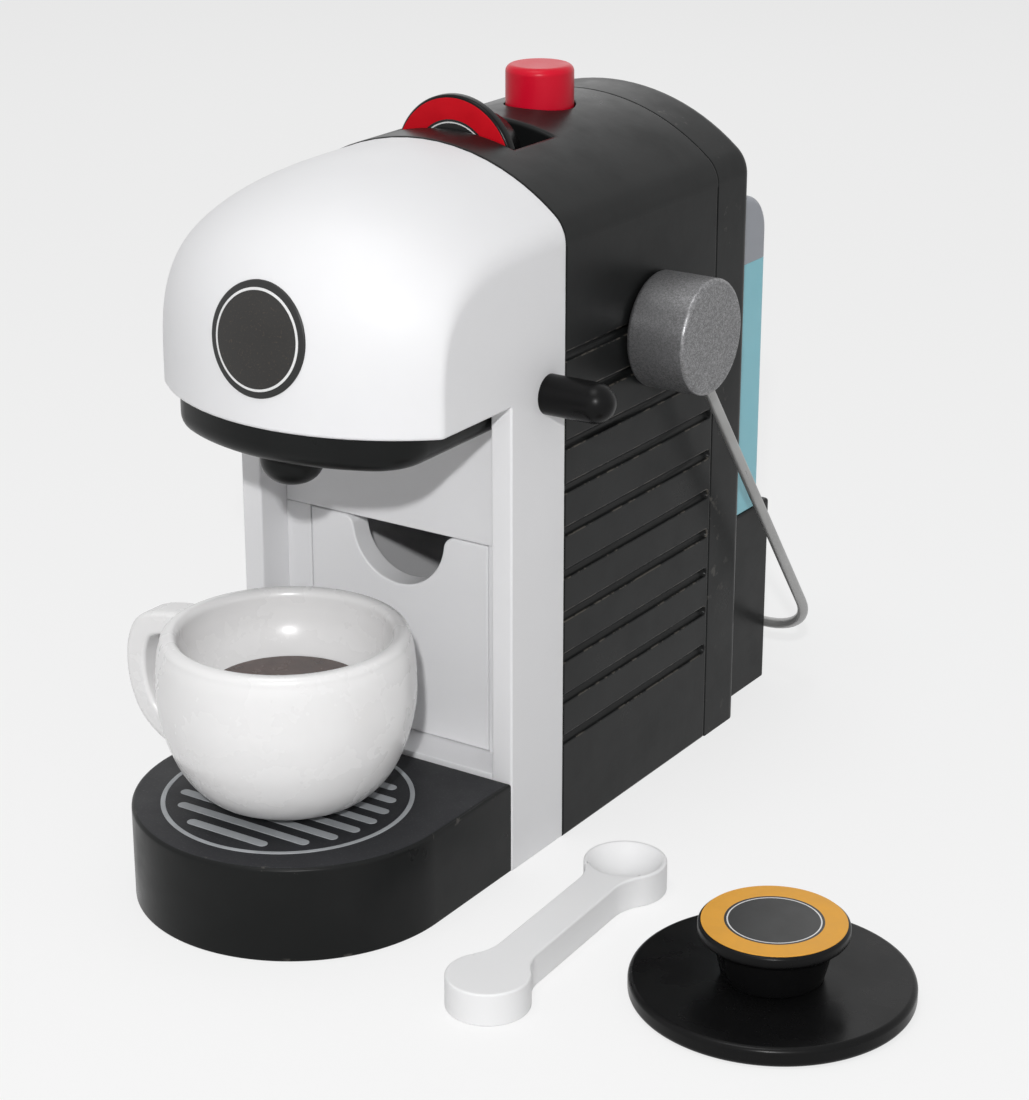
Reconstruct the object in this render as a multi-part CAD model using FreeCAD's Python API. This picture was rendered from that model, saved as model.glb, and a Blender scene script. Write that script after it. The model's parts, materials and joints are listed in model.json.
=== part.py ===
import FreeCAD, Part
import math
import os

# Toy coffee maker of painted wood, with its cup, saucer, spoon and two capsules.
# Millimetres. +Z is up and -Y is the front. The origin is on the table, in the middle of the
# black casing's underside. Everything that fits something else takes its size from the same names.

Vector = FreeCAD.Vector
X_AXIS = Vector(1, 0, 0)
Y_AXIS = Vector(0, 1, 0)
Z_AXIS = Vector(0, 0, 1)
SIDES = (("right", 1), ("left", -1))

# Clearances
SLIDE_GAP = 0.3          # between a sliding or lifted piece and what it rests on or passes
BUTTON_GAP = 0.5         # around the push button
AXLE_GAP = 0.05          # radial running clearance of the lever's axle
LETTING_IN = 0.3         # how far a printed disc or bar is let into its face
PRINT_PROUD = 0.15       # how far it then stands out

# Arched outline shared by the white frame, the black casing and the back
MACHINE_WIDTH = 90.0
MACHINE_HEIGHT = 193.5
ARCH_RADIUS = 64.3
SHOULDER_RADIUS = 9.9
CASING_STEP = 0.3        # the black casing is that much larger all round than the white frame

# Depths from front to back
FRAME_DEPTH = 25.6
CASING_DEPTH = 80.4
REAR_DEPTH = 19.6
REAR_ROUND = 3.5

# White frame and what stands between its legs
LEG_WIDTH = 6.6
PANEL_RECESS = 11.4
PANEL_THICKNESS = 9.0
RAIL_HEIGHT = 27.9
OPENING_WIDTH = 60.0
OPENING_TOP = 88.8

# Head
HEAD_HEIGHT = 60.3       # from the bay between the legs to the top of the arch
HEAD_REACH = 49.0        # from the frame's front to the head's foremost point
HEAD_FRONT_RADIUS = 64.6
DOME_POWER_MIDDLE = 3.3
DOME_POWER_SIDE = 3.9
HEAD_EDGE_ROUND = 1.0
BADGE_RADIUS = 14.7
BADGE_RISE = 22.9        # from the head's underside to the badge's middle
BADGE_THICKNESS = 0.4

# Brew plate and spout under the head
PLATE_MARGIN = 0.6       # between the plate and each leg
PLATE_THICKNESS = 9.4
PLATE_SETBACK = 0.6
PLATE_CORNER = 16.0
PLATE_ROUND = 4.6
SPOUT_RADIUS = 8.4
SPOUT_LENGTH = 8.8
SPOUT_ROUND = 6.2
SPOUT_REACH = 34.2

# Drip tray and the grille printed on it
TRAY_MARGIN = 0.3        # the tray is that much narrower than the frame on each side
TRAY_HEIGHT = 26.7
TRAY_STRAIGHT = 35.9
TRAY_EDGE = 0.9
RING_RADIUS = 34.0
RING_LINE = 1.3
RING_REACH = 39.3
RING_X = -1.0
BAR_WIDTH = 3.0
BAR_PITCH = 6.5
BAR_COUNT = 9
BAR_MARGIN = 3.6

# Black casing
WALL = 9.0
TOP_BLOCK_HEIGHT = 35.5
FLOOR_THICKNESS = 9.0
RUNNER_WIDTH = 15.0
GROOVE_COUNT = 10
GROOVE_DROP = 52.8       # from the top of the arch to the first groove
GROOVE_PITCH = 12.33
GROOVE_RADIUS = 1.4
GROOVE_STOP = 1.2        # from a groove's round end to the back seam

# Stop pegs on the frame's sides
PEG_RADIUS = 5.5
PEG_LENGTH = 19.8
PEG_DROP = 0.7           # from the head's underside down to the peg's axis
PEG_FROM_FRONT = 17.9
PEG_TENON_RADIUS = 4.0
PEG_TENON_LENGTH = 5.0

# Lever: two knobs on one axle and a bent steel wire
AXLE_RADIUS = 5.0
AXLE_DROP = 55.8         # from the top of the arch
AXLE_FROM_FRONT = 71.6
KNOB_RADIUS = 16.3
KNOB_LENGTH = 18.5
KNOB_RIM = 1.2
KNOB_SOCKET = 14.0
WIRE_RADIUS = 1.65
WIRE_INSET = 9.6         # from a knob's outer face to the middle of the wire
WIRE_BEND = 18.0
WIRE_START = 7.0
CROSSBAR_HEIGHT = 17.5   # middle of the crossbar above the table, at rest
CROSSBAR_GAP = 0.3       # between the resting crossbar and the tank's base

# Push button
BUTTON_RADIUS = 9.7
BUTTON_STAND = 11.0      # how far it stands out of the arch
BUTTON_FROM_FRONT = 83.0
BUTTON_EDGE = 1.6
BUTTON_TRAVEL = 3.0
COLLAR_WIDTH = 2.5
COLLAR_THICKNESS = 3.0
COLLAR_DROP = 15.5       # from the top of the arch to the collar's underside at rest
STEM_RADIUS = 3.2
STEM_LENGTH = 5.0
PLUG_THICKNESS = 4.0
SPRING_RADIUS = 5.2
SPRING_WIRE = 0.5
SPRING_TURNS = 4

# Capsules
FLANGE_RADIUS = 19.2
FLANGE_THICKNESS = 3.2
FLANGE_EDGE = 0.7
CAPSULE_HEIGHT = 14.9
CAPSULE_NECK = 15.8
CAPSULE_FOOT = 13.0
LABEL_RADIUS = 18.4
LABEL_THICKNESS = 0.5
SLOT_FROM_FRONT = 39.6
SLOT_LENGTH = 18.9
RED_CAPSULE_DROP = 9.9   # from the top of the arch to the upright capsule's axis

# Gate on the lever's axle that holds the capsule up in its slot
GATE_WIDTH = 16.0
GATE_ROOM = 1.2          # around the gate as it swings
GATE_HUB = 10.0
GATE_LEDGE = 11.0        # length of the flat on which the capsule's flange stands

# Bin for used capsules
BIN_GAP = 0.3
BIN_DEPTH = 76.0
BIN_FRONT_THICKNESS = 7.2
BIN_BOARD = 5.0
BIN_FLOOR = 4.0
BIN_SIDE_DROP = 4.8      # from the top of the opening to the bin's side boards
NOTCH_RADIUS = 15.3
NOTCH_SHOULDER = 3.6
NOTCH_DROP = 17.2        # from the top of the opening to the bottom of the notch

# Water tank
TANK_WIDTH = 75.6
TANK_DEPTH = 24.7
TANK_FOOT = 60.3
TANK_BODY_HEIGHT = 79.3
TANK_LID_HEIGHT = 20.3
TANK_LID_ROUND = 12.0
TANK_CORNER = 2.0
BASE_DEPTH = 32.7
BASE_CORNER = 1.0

# Cup
CUP_HEIGHT = 48.0
CUP_RIM = 33.0
CUP_BELLY = 34.4
CUP_BELLY_HEIGHT = 34.5
CUP_FOOT = 14.0
CUP_MOUTH = 28.3
CUP_CAVITY = 17.0
CUP_CAVITY_FLOOR = 21.6
CUP_X = -0.6
CUP_FROM_FRONT = 38.8
COFFEE_THICKNESS = 1.0
HANDLE_REACH = 52.0      # from the cup's axis
HANDLE_TOP = 47.0
HANDLE_WIDEST = 30.0     # height at which the handle reaches furthest
HANDLE_BOTTOM = 5.4
HANDLE_WIDTH = 9.6
HANDLE_THICKNESS = 6.6
HANDLE_ROOT = 10.0       # how deep the handle's ends reach into the cup's wall

# Saucer
SAUCER_RADIUS = 36.4
SAUCER_THICKNESS = 5.2
SAUCER_EDGE = 0.8
SAUCER_X = 135.7
SAUCER_FROM_FRONT = 18.9

# Spoon
SPOON_END = 10.9
SPOON_BOWL_END = 11.3
SPOON_BOWL = 10.2
SPOON_BOWL_DEPTH = 4.4
SPOON_SHANK = 5.6
SPOON_FILLET = 14.0
SPOON_THICKNESS = 9.0
SPOON_EDGE = 0.6
SPOON_FRONT_X = 79.2
SPOON_FRONT_REACH = 63.0
SPOON_BACK_X = 76.0
SPOON_BACK_REACH = 8.6

# Places that follow from the sizes above
HALF_WIDTH = MACHINE_WIDTH / 2
CASING_FRONT = -CASING_DEPTH / 2
CASING_BACK = CASING_DEPTH / 2
FRAME_FRONT = CASING_FRONT - FRAME_DEPTH
REAR_BACK = CASING_BACK + REAR_DEPTH
CASING_SIDE = HALF_WIDTH + CASING_STEP
CASING_INSIDE = CASING_SIDE - WALL
BAY_SIDE = HALF_WIDTH - LEG_WIDTH
PANEL_FRONT = FRAME_FRONT + PANEL_RECESS
BAY_HEIGHT = MACHINE_HEIGHT - HEAD_HEIGHT
TOP_BLOCK_BASE = MACHINE_HEIGHT - TOP_BLOCK_HEIGHT
AXLE_HEIGHT = MACHINE_HEIGHT - AXLE_DROP
COLLAR_HEIGHT = MACHINE_HEIGHT - COLLAR_DROP
RED_CAPSULE_HEIGHT = MACHINE_HEIGHT - RED_CAPSULE_DROP
AXLE_Y = FRAME_FRONT + AXLE_FROM_FRONT
BUTTON_Y = FRAME_FRONT + BUTTON_FROM_FRONT
CUP_Y = FRAME_FRONT - CUP_FROM_FRONT
CUP_SEAT = TRAY_HEIGHT + SLIDE_GAP
TANK_SEAT = TANK_FOOT + SLIDE_GAP
CROSSBAR_Y = REAR_BACK + BASE_DEPTH + CROSSBAR_GAP + WIRE_RADIUS
WIRE_REACH = math.hypot(CROSSBAR_Y - AXLE_Y, AXLE_HEIGHT - CROSSBAR_HEIGHT)
GATE_TOP = RED_CAPSULE_HEIGHT - FLANGE_RADIUS - SLIDE_GAP - AXLE_HEIGHT
GATE_NOSE = AXLE_FROM_FRONT - SLOT_FROM_FRONT - SLIDE_GAP - 0.5
GATE_REACH = math.hypot(GATE_TOP, GATE_NOSE)


def box(x0, x1, y0, y1, z0, z1):
    return Part.makeBox(x1 - x0, y1 - y0, z1 - z0, Vector(x0, y0, z0))


def cylinder(radius, length, start, axis):
    return Part.makeCylinder(radius, length, start, axis)


def prism(edges, direction):
    return Part.Face(Part.Wire(Part.__sortEdges__(edges))).extrude(direction)


def arc(a, b, c):
    return Part.Arc(a, b, c).toShape()


def line(a, b):
    return Part.LineSegment(a, b).toShape()


def edges_where(shape, test):
    return [edge for edge in shape.Edges if test(edge)]


def round_edges(shape, radius, test):
    return shape.makeFillet(radius, edges_where(shape, test))


def flat_at(edge, level, axis):
    """True where the whole edge lies at one level along an axis: 0 for X, 1 for Y, 2 for Z."""
    low = (edge.BoundBox.XMin, edge.BoundBox.YMin, edge.BoundBox.ZMin)[axis]
    high = (edge.BoundBox.XMax, edge.BoundBox.YMax, edge.BoundBox.ZMax)[axis]
    return abs(low - level) < 0.01 and abs(high - level) < 0.01


def revolve(points, axis_point, axis):
    """A closed outline of straight edges turned once round an axis."""
    closed = list(points) + [points[0]]
    return Part.Face(Part.makePolygon(closed)).revolve(axis_point, axis, 360)


# The arched outline

def shoulder_centre(grow=0.0):
    """Centre of a shoulder arc. Growing the outline leaves both arcs' centres where they are."""
    x = HALF_WIDTH - SHOULDER_RADIUS
    rise = math.sqrt((ARCH_RADIUS - SHOULDER_RADIUS) ** 2 - x ** 2)
    return x, MACHINE_HEIGHT - ARCH_RADIUS + rise


def arch_edges(y, foot, grow=0.0):
    top_centre = MACHINE_HEIGHT - ARCH_RADIUS
    side = HALF_WIDTH + grow
    sx, sz = shoulder_centre()
    turn = math.atan2(sz - top_centre, sx)
    big = ARCH_RADIUS + grow
    small = SHOULDER_RADIUS + grow

    def on_top(angle):
        return Vector(big * math.cos(angle), y, top_centre + big * math.sin(angle))

    def on_shoulder(angle, sign):
        return Vector(sign * (sx + small * math.cos(angle)), y, sz + small * math.sin(angle))

    edges = [arc(on_top(turn), on_top(math.pi / 2), on_top(math.pi - turn))]
    for sign in (1, -1):
        start = on_shoulder(0, sign)
        edges.append(arc(start, on_shoulder(turn / 2, sign), on_shoulder(turn, sign)))
        edges.append(line(Vector(sign * side, y, foot), start))
    edges.append(line(Vector(-side, y, foot), Vector(side, y, foot)))
    return edges


def arch_prism(y0, y1, foot, grow=0.0):
    return prism(arch_edges(y0, foot, grow), Vector(0, y1 - y0, 0))


def arch_height(x):
    top_centre = MACHINE_HEIGHT - ARCH_RADIUS
    sx, sz = shoulder_centre()
    tangent = sx * ARCH_RADIUS / (ARCH_RADIUS - SHOULDER_RADIUS)
    if abs(x) <= tangent:
        return top_centre + math.sqrt(ARCH_RADIUS ** 2 - x ** 2)
    return sz + math.sqrt(max(SHOULDER_RADIUS ** 2 - (abs(x) - sx) ** 2, 0.0))


# White head and frame: one dome, sawn apart at the frame's front

def front_line(x, grow=0.0):
    """Y of the head's front at x, seen from above: one arc across the whole width."""
    radius = HEAD_FRONT_RADIUS + grow
    centre = FRAME_FRONT - HEAD_REACH + HEAD_FRONT_RADIUS
    return centre - math.sqrt(radius ** 2 - x ** 2)


def dome_section(x, grow):
    """Side view of the dome at x: up the front and over to the casing in one rounded sweep."""
    front = front_line(x, grow)
    foot = BAY_HEIGHT
    top = arch_height(x) + grow
    share = (x / HALF_WIDTH) ** 2
    power = DOME_POWER_MIDDLE + (DOME_POWER_SIDE - DOME_POWER_MIDDLE) * share
    steps = 10
    ease = HEAD_EDGE_ROUND
    start = foot + ease
    points = []
    for i in range(steps + 1):
        turn = math.pi / 2 * i / steps
        forward = math.cos(turn) ** (2 / power)
        upward = math.sin(turn) ** (2 / power)
        y = CASING_FRONT + (front - CASING_FRONT) * forward
        points.append(Vector(x, y, start + (top - start) * upward))
    curve = Part.BSplineCurve()
    curve.interpolate(Points=points, InitialTangent=Z_AXIS, FinalTangent=Y_AXIS)
    under = Vector(x, front + ease, foot)
    part_way = ease * (1 - math.sqrt(0.5))
    eased = arc(under, Vector(x, front + part_way, foot + part_way), points[0])
    corner = Vector(x, CASING_FRONT, foot)
    return Part.Wire([eased, curve.toShape(), line(points[-1], corner), line(corner, under)])


def dome(grow=0.0):
    sections = []
    half_steps = 6
    for i in range(-half_steps, half_steps + 1):
        x = HALF_WIDTH * math.sin(math.pi / 2 * i / half_steps)
        sections.append(dome_section(x, grow))
    return Part.makeLoft(sections, True, False)


def head(whole_dome):
    front = front_line(0) - HEAD_REACH
    return whole_dome.common(box(-MACHINE_WIDTH, MACHINE_WIDTH, front, FRAME_FRONT, 0, 2 * MACHINE_HEIGHT))


def head_badge(whole_dome):
    """A thin round sticker that follows the head's front."""
    start = Vector(0, front_line(0) - HEAD_REACH, BAY_HEIGHT + BADGE_RISE)
    plug = cylinder(BADGE_RADIUS, FRAME_FRONT - start.y, start, Y_AXIS)
    return dome(BADGE_THICKNESS).common(plug).cut(whole_dome)


def front_frame(whole_dome):
    top = whole_dome.common(
        box(-MACHINE_WIDTH, MACHINE_WIDTH, FRAME_FRONT, CASING_BACK, 0, 2 * MACHINE_HEIGHT))
    pieces = [top]
    for name, sign in SIDES:
        edge = sorted((sign * BAY_SIDE, sign * HALF_WIDTH))
        pieces.append(box(edge[0], edge[1], FRAME_FRONT, CASING_FRONT, 0, BAY_HEIGHT))
    frame = pieces[0].fuse(pieces[1:]).removeSplitter()
    for name, sign in SIDES:
        frame = frame.cut(peg_tenon(sign))
    return frame


# Pieces between and in front of the legs

def front_panel():
    return box(-BAY_SIDE, BAY_SIDE, PANEL_FRONT, PANEL_FRONT + PANEL_THICKNESS,
               OPENING_TOP, BAY_HEIGHT)


def panel_strip(sign):
    x0, x1 = sorted((sign * OPENING_WIDTH / 2, sign * BAY_SIDE))
    return box(x0, x1, PANEL_FRONT, PANEL_FRONT + PANEL_THICKNESS, RAIL_HEIGHT, OPENING_TOP)


def bottom_rail():
    return box(-BAY_SIDE, BAY_SIDE, FRAME_FRONT, CASING_FRONT, 0, RAIL_HEIGHT)


def brew_plate():
    half = BAY_SIDE - PLATE_MARGIN
    corner_y = front_line(half) + PLATE_SETBACK
    left = Vector(-half, corner_y, 0)
    middle = Vector(0, front_line(0) + PLATE_SETBACK, 0)
    right = Vector(half, corner_y, 0)
    back_right = Vector(half, PANEL_FRONT, 0)
    back_left = Vector(-half, PANEL_FRONT, 0)
    outline = [arc(left, middle, right), line(right, back_right),
               line(back_right, back_left), line(back_left, left)]
    plate = prism(outline, Z_AXIS * PLATE_THICKNESS)
    plate.translate(Z_AXIS * (BAY_HEIGHT - PLATE_THICKNESS))

    def front_corner(edge):
        return flat_at(edge, corner_y, 1) and edge.BoundBox.ZLength > 1

    def lower_outline(edge):
        return flat_at(edge, BAY_HEIGHT - PLATE_THICKNESS, 2) \
            and edge.BoundBox.YMin < PANEL_FRONT - 1

    plate = round_edges(plate, PLATE_CORNER, front_corner)
    return round_edges(plate, PLATE_ROUND, lower_outline)


def spout():
    foot = BAY_HEIGHT - PLATE_THICKNESS - SPOUT_LENGTH
    piece = cylinder(SPOUT_RADIUS, SPOUT_LENGTH,
                     Vector(0, FRAME_FRONT - SPOUT_REACH, foot), Z_AXIS)
    return round_edges(piece, SPOUT_ROUND, lambda edge: flat_at(edge, foot, 2))


def tray_blank():
    half = HALF_WIDTH - TRAY_MARGIN
    turn = FRAME_FRONT - TRAY_STRAIGHT
    right = Vector(half, FRAME_FRONT, 0)
    left = Vector(-half, FRAME_FRONT, 0)
    outline = [line(left, right), line(right, Vector(half, turn, 0)),
               arc(Vector(half, turn, 0), Vector(0, turn - half, 0), Vector(-half, turn, 0)),
               line(Vector(-half, turn, 0), left)]
    tray = prism(outline, Z_AXIS * TRAY_HEIGHT)

    def outer_top(edge):
        return flat_at(edge, TRAY_HEIGHT, 2) and edge.BoundBox.YMin < FRAME_FRONT - 1

    return round_edges(tray, TRAY_EDGE, outer_top)


def grille_solids():
    """The ring and bars printed on the tray, each as a thin inlay."""
    foot = TRAY_HEIGHT - LETTING_IN
    height = LETTING_IN + PRINT_PROUD
    centre = Vector(RING_X, FRAME_FRONT - RING_REACH, foot)
    outer = cylinder(RING_RADIUS, height, centre, Z_AXIS)
    solids = [outer.cut(cylinder(RING_RADIUS - RING_LINE, height, centre, Z_AXIS))]
    reach = RING_RADIUS - RING_LINE - BAR_MARGIN
    for i in range(BAR_COUNT):
        dy = (i - (BAR_COUNT - 1) / 2) * BAR_PITCH
        half = math.sqrt(reach ** 2 - dy ** 2)
        solids.append(slot_bar(half, BAR_WIDTH / 2, centre + Vector(0, dy, 0), height))
    return solids


def slot_bar(half, radius, centre, height):
    """A bar along X with round ends, 2 * half long over all."""
    run = half - radius
    a = centre + Vector(-run, -radius, 0)
    b = centre + Vector(run, -radius, 0)
    c = centre + Vector(run, radius, 0)
    d = centre + Vector(-run, radius, 0)
    outline = [line(a, b), arc(b, centre + Vector(half, 0, 0), c),
               line(c, d), arc(d, centre + Vector(-half, 0, 0), a)]
    return prism(outline, Z_AXIS * height)


# Black casing

def axle_hole(x0, x1):
    return cylinder(AXLE_RADIUS + AXLE_GAP, x1 - x0, Vector(x0, AXLE_Y, AXLE_HEIGHT), X_AXIS)


def side_board(sign):
    x0, x1 = sorted((sign * CASING_INSIDE, sign * CASING_SIDE))
    board = box(x0, x1, CASING_FRONT, CASING_BACK, 0, TOP_BLOCK_BASE)
    end = CASING_BACK - GROOVE_STOP - GROOVE_RADIUS
    tools = [axle_hole(x0 - 1, x1 + 1)]
    for i in range(GROOVE_COUNT):
        height = MACHINE_HEIGHT - GROOVE_DROP - i * GROOVE_PITCH
        place = Vector(sign * CASING_SIDE, CASING_FRONT, height)
        tools.append(cylinder(GROOVE_RADIUS, end - CASING_FRONT, place, Y_AXIS))
        tools.append(Part.makeSphere(GROOVE_RADIUS, Vector(place.x, end, place.z)))
    return board.cut(tools)


def capsule_pocket():
    """Shaft for the capsule that stands in the top: its flange in front, its body behind."""
    front = FRAME_FRONT + SLOT_FROM_FRONT
    flange_room = FLANGE_THICKNESS + 2 * SLIDE_GAP
    wide = FLANGE_RADIUS + SLIDE_GAP
    narrow = CAPSULE_NECK + SLIDE_GAP
    rise = MACHINE_HEIGHT - RED_CAPSULE_HEIGHT + 1
    parts = []
    for depth, half in ((flange_room, wide), (SLOT_LENGTH, narrow)):
        parts.append(box(-half, half, front, front + depth, TOP_BLOCK_BASE - 1,
                         RED_CAPSULE_HEIGHT + rise))
    mouth = RED_CAPSULE_HEIGHT + CAPSULE_NECK / 2
    parts.append(box(-wide, wide, front, front + SLOT_LENGTH, mouth, MACHINE_HEIGHT + 1))
    return parts[0].fuse(parts[1:])


def gate_swing(half_width):
    """The round of space that the gate sweeps about the axle."""
    start = Vector(-half_width, AXLE_Y, AXLE_HEIGHT)
    return cylinder(GATE_REACH + GATE_ROOM, 2 * half_width, start, X_AXIS)


def gate_room():
    """Where the gate swings up into the casing's top."""
    half = GATE_WIDTH / 2 + GATE_ROOM
    reach = GATE_REACH + GATE_ROOM
    front = box(-half, half, AXLE_Y - reach, AXLE_Y - GATE_HUB - GATE_ROOM,
                AXLE_HEIGHT, AXLE_HEIGHT + reach)
    return gate_swing(half).common(front)


def button_bore():
    """Hole for the button, wider below the roof so that the button's collar can't come out."""
    centre = Vector(0, BUTTON_Y, TOP_BLOCK_BASE - 1)
    hole = cylinder(BUTTON_RADIUS + BUTTON_GAP, MACHINE_HEIGHT, centre, Z_AXIS)
    roof = COLLAR_HEIGHT + COLLAR_THICKNESS + SLIDE_GAP
    chamber = cylinder(BUTTON_RADIUS + COLLAR_WIDTH + BUTTON_GAP, roof - centre.z, centre, Z_AXIS)
    return hole.fuse(chamber)


def top_block():
    block = arch_prism(CASING_FRONT, CASING_BACK, TOP_BLOCK_BASE, CASING_STEP)
    return block.cut([capsule_pocket(), gate_room(), button_bore()])


def rear_panel():
    panel = arch_prism(CASING_BACK, REAR_BACK, 0, CASING_STEP)

    def back_outline(edge):
        return flat_at(edge, REAR_BACK, 1) and edge.BoundBox.ZMax > 1

    panel = round_edges(panel, REAR_ROUND, back_outline)
    return panel.cut(gate_swing(GATE_WIDTH / 2 + GATE_ROOM))


def base_board():
    return box(-CASING_INSIDE, CASING_INSIDE, CASING_FRONT, CASING_BACK, 0, FLOOR_THICKNESS)


def bin_runner(sign):
    x0, x1 = sorted((sign * (CASING_INSIDE - RUNNER_WIDTH), sign * CASING_INSIDE))
    return box(x0, x1, CASING_FRONT, CASING_BACK, FLOOR_THICKNESS, RAIL_HEIGHT)


def peg_centre(sign):
    return Vector(sign * HALF_WIDTH, FRAME_FRONT + PEG_FROM_FRONT, BAY_HEIGHT - PEG_DROP)


def peg_tenon(sign):
    return cylinder(PEG_TENON_RADIUS, PEG_TENON_LENGTH, peg_centre(sign), X_AXIS * -sign)


def stop_peg(sign):
    straight = PEG_LENGTH - PEG_RADIUS
    shank = cylinder(PEG_RADIUS, straight, peg_centre(sign), X_AXIS * sign)
    tip = Part.makeSphere(PEG_RADIUS, peg_centre(sign) + X_AXIS * sign * straight)
    return shank.fuse([tip, peg_tenon(sign)]).removeSplitter()


# Lever

def arm_direction():
    """Way the wire's arms point at rest: back and down, with the crossbar behind the tank's base."""
    return Vector(0, CROSSBAR_Y - AXLE_Y, CROSSBAR_HEIGHT - AXLE_HEIGHT) / WIRE_REACH


def wire_x():
    return CASING_SIDE + SLIDE_GAP + KNOB_LENGTH - WIRE_INSET


def bail_wire():
    """One steel wire: down one arm, round a bend, across and back up the other arm."""
    pivot = Vector(0, AXLE_Y, AXLE_HEIGHT)
    out = arm_direction()
    x = wire_x()
    quarter = WIRE_BEND * (1 - math.sqrt(0.5))

    def at(side, along):
        return pivot + Vector(side, 0, 0) + out * along

    def bend(sign):
        return [at(sign * x, WIRE_REACH - WIRE_BEND),
                at(sign * (x - quarter), WIRE_REACH - quarter),
                at(sign * (x - WIRE_BEND), WIRE_REACH)]

    right = bend(1)
    left = bend(-1)
    path = Part.Wire([line(at(x, WIRE_START), right[0]), arc(*right),
                      line(right[2], left[2]), arc(*reversed(left)),
                      line(left[0], at(-x, WIRE_START))])
    ring = Part.Wire(Part.makeCircle(WIRE_RADIUS, at(x, WIRE_START), out))
    return path.makePipeShell([ring], True, False)


def knob(sign):
    start = Vector(sign * (CASING_SIDE + SLIDE_GAP), AXLE_Y, AXLE_HEIGHT)
    piece = cylinder(KNOB_RADIUS, KNOB_LENGTH, start, X_AXIS * sign)
    piece = round_edges(piece, KNOB_RIM, lambda edge: flat_at(edge, edge.BoundBox.XMin, 0))
    socket = cylinder(AXLE_RADIUS, KNOB_SOCKET, start, X_AXIS * sign)
    foot = Vector(sign * wire_x(), AXLE_Y, AXLE_HEIGHT) + arm_direction() * WIRE_START
    wire_hole = cylinder(WIRE_RADIUS, KNOB_RADIUS, foot, arm_direction())
    return piece.cut([socket, wire_hole])


def capsule_gate():
    """Hub on the axle with a finger whose flat end stands under the capsule's flange."""
    half = GATE_WIDTH / 2
    hub = cylinder(GATE_HUB, GATE_WIDTH, Vector(-half, AXLE_Y, AXLE_HEIGHT), X_AXIS)
    corners = [(-GATE_NOSE, GATE_TOP), (GATE_LEDGE - GATE_NOSE, GATE_TOP),
               (-GATE_HUB * 0.3, GATE_HUB * 0.9), (-GATE_HUB * 0.95, -GATE_HUB * 0.2)]
    points = [Vector(-half, AXLE_Y + y, AXLE_HEIGHT + z) for y, z in corners]
    finger = Part.Face(Part.makePolygon(points + [points[0]])).extrude(X_AXIS * GATE_WIDTH)
    bore = cylinder(AXLE_RADIUS, GATE_WIDTH, Vector(-half, AXLE_Y, AXLE_HEIGHT), X_AXIS)
    return hub.fuse(finger).cut(bore).removeSplitter()


def lever_axle():
    reach = CASING_SIDE + SLIDE_GAP + KNOB_SOCKET
    return cylinder(AXLE_RADIUS, 2 * reach, Vector(-reach, AXLE_Y, AXLE_HEIGHT), X_AXIS)


# Button

def button_cap():
    centre = Vector(0, BUTTON_Y, COLLAR_HEIGHT)
    top = MACHINE_HEIGHT + BUTTON_STAND
    cap = cylinder(BUTTON_RADIUS, top - COLLAR_HEIGHT, centre, Z_AXIS)
    cap = round_edges(cap, BUTTON_EDGE, lambda edge: flat_at(edge, top, 2))
    collar = cylinder(BUTTON_RADIUS + COLLAR_WIDTH, COLLAR_THICKNESS, centre, Z_AXIS)
    stem = cylinder(STEM_RADIUS, STEM_LENGTH, centre - Z_AXIS * STEM_LENGTH, Z_AXIS)
    return cap.fuse([collar, stem]).removeSplitter()


def button_plug():
    """Disc that closes the button's chamber from below and carries the spring."""
    radius = BUTTON_RADIUS + COLLAR_WIDTH + BUTTON_GAP
    return cylinder(radius, PLUG_THICKNESS, Vector(0, BUTTON_Y, TOP_BLOCK_BASE), Z_AXIS)


def button_spring():
    foot = TOP_BLOCK_BASE + PLUG_THICKNESS + SPRING_WIRE
    height = COLLAR_HEIGHT - SPRING_WIRE - foot
    halves = 2 * SPRING_TURNS

    def at(half_turns):
        angle = math.pi * half_turns
        return Vector(SPRING_RADIUS * math.cos(angle),
                      BUTTON_Y + SPRING_RADIUS * math.sin(angle),
                      foot + height * half_turns / halves)

    edges = [arc(at(i), at(i + 0.5), at(i + 1)) for i in range(halves)]
    start = edges[0].tangentAt(edges[0].FirstParameter)
    ring = Part.Wire(Part.makeCircle(SPRING_WIRE, at(0), start))
    return Part.Wire(edges).makePipeShell([ring], True, False)


# Bin for used capsules

def bin_front():
    half = OPENING_WIDTH / 2 - BIN_GAP
    foot = RAIL_HEIGHT + BIN_GAP
    top = OPENING_TOP - BIN_GAP
    board = box(-half, half, PANEL_FRONT, PANEL_FRONT + BIN_FRONT_THICKNESS, foot, top)
    centre = OPENING_TOP - NOTCH_DROP + NOTCH_RADIUS
    start = Vector(0, PANEL_FRONT, centre)
    notch = cylinder(NOTCH_RADIUS, BIN_FRONT_THICKNESS, start, Y_AXIS)
    above = box(-NOTCH_RADIUS, NOTCH_RADIUS, PANEL_FRONT, PANEL_FRONT + BIN_FRONT_THICKNESS,
                centre, top)
    board = board.cut([notch, above])

    def shoulder(edge):
        corner = edge.BoundBox.Center
        return edge.BoundBox.YLength > 1 and abs(corner.z - top) < 0.01 \
            and abs(abs(corner.x) - NOTCH_RADIUS) < 0.5

    return round_edges(board, min(NOTCH_SHOULDER, (top - centre) * 0.9), shoulder)


def bin_side(sign):
    outer = OPENING_WIDTH / 2 - BIN_GAP
    x0, x1 = sorted((sign * (outer - BIN_BOARD), sign * outer))
    return box(x0, x1, PANEL_FRONT + BIN_FRONT_THICKNESS, PANEL_FRONT + BIN_DEPTH,
               RAIL_HEIGHT + BIN_GAP, OPENING_TOP - BIN_SIDE_DROP)


def bin_inside():
    """Half the width between the bin's side boards."""
    return OPENING_WIDTH / 2 - BIN_GAP - BIN_BOARD


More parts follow.
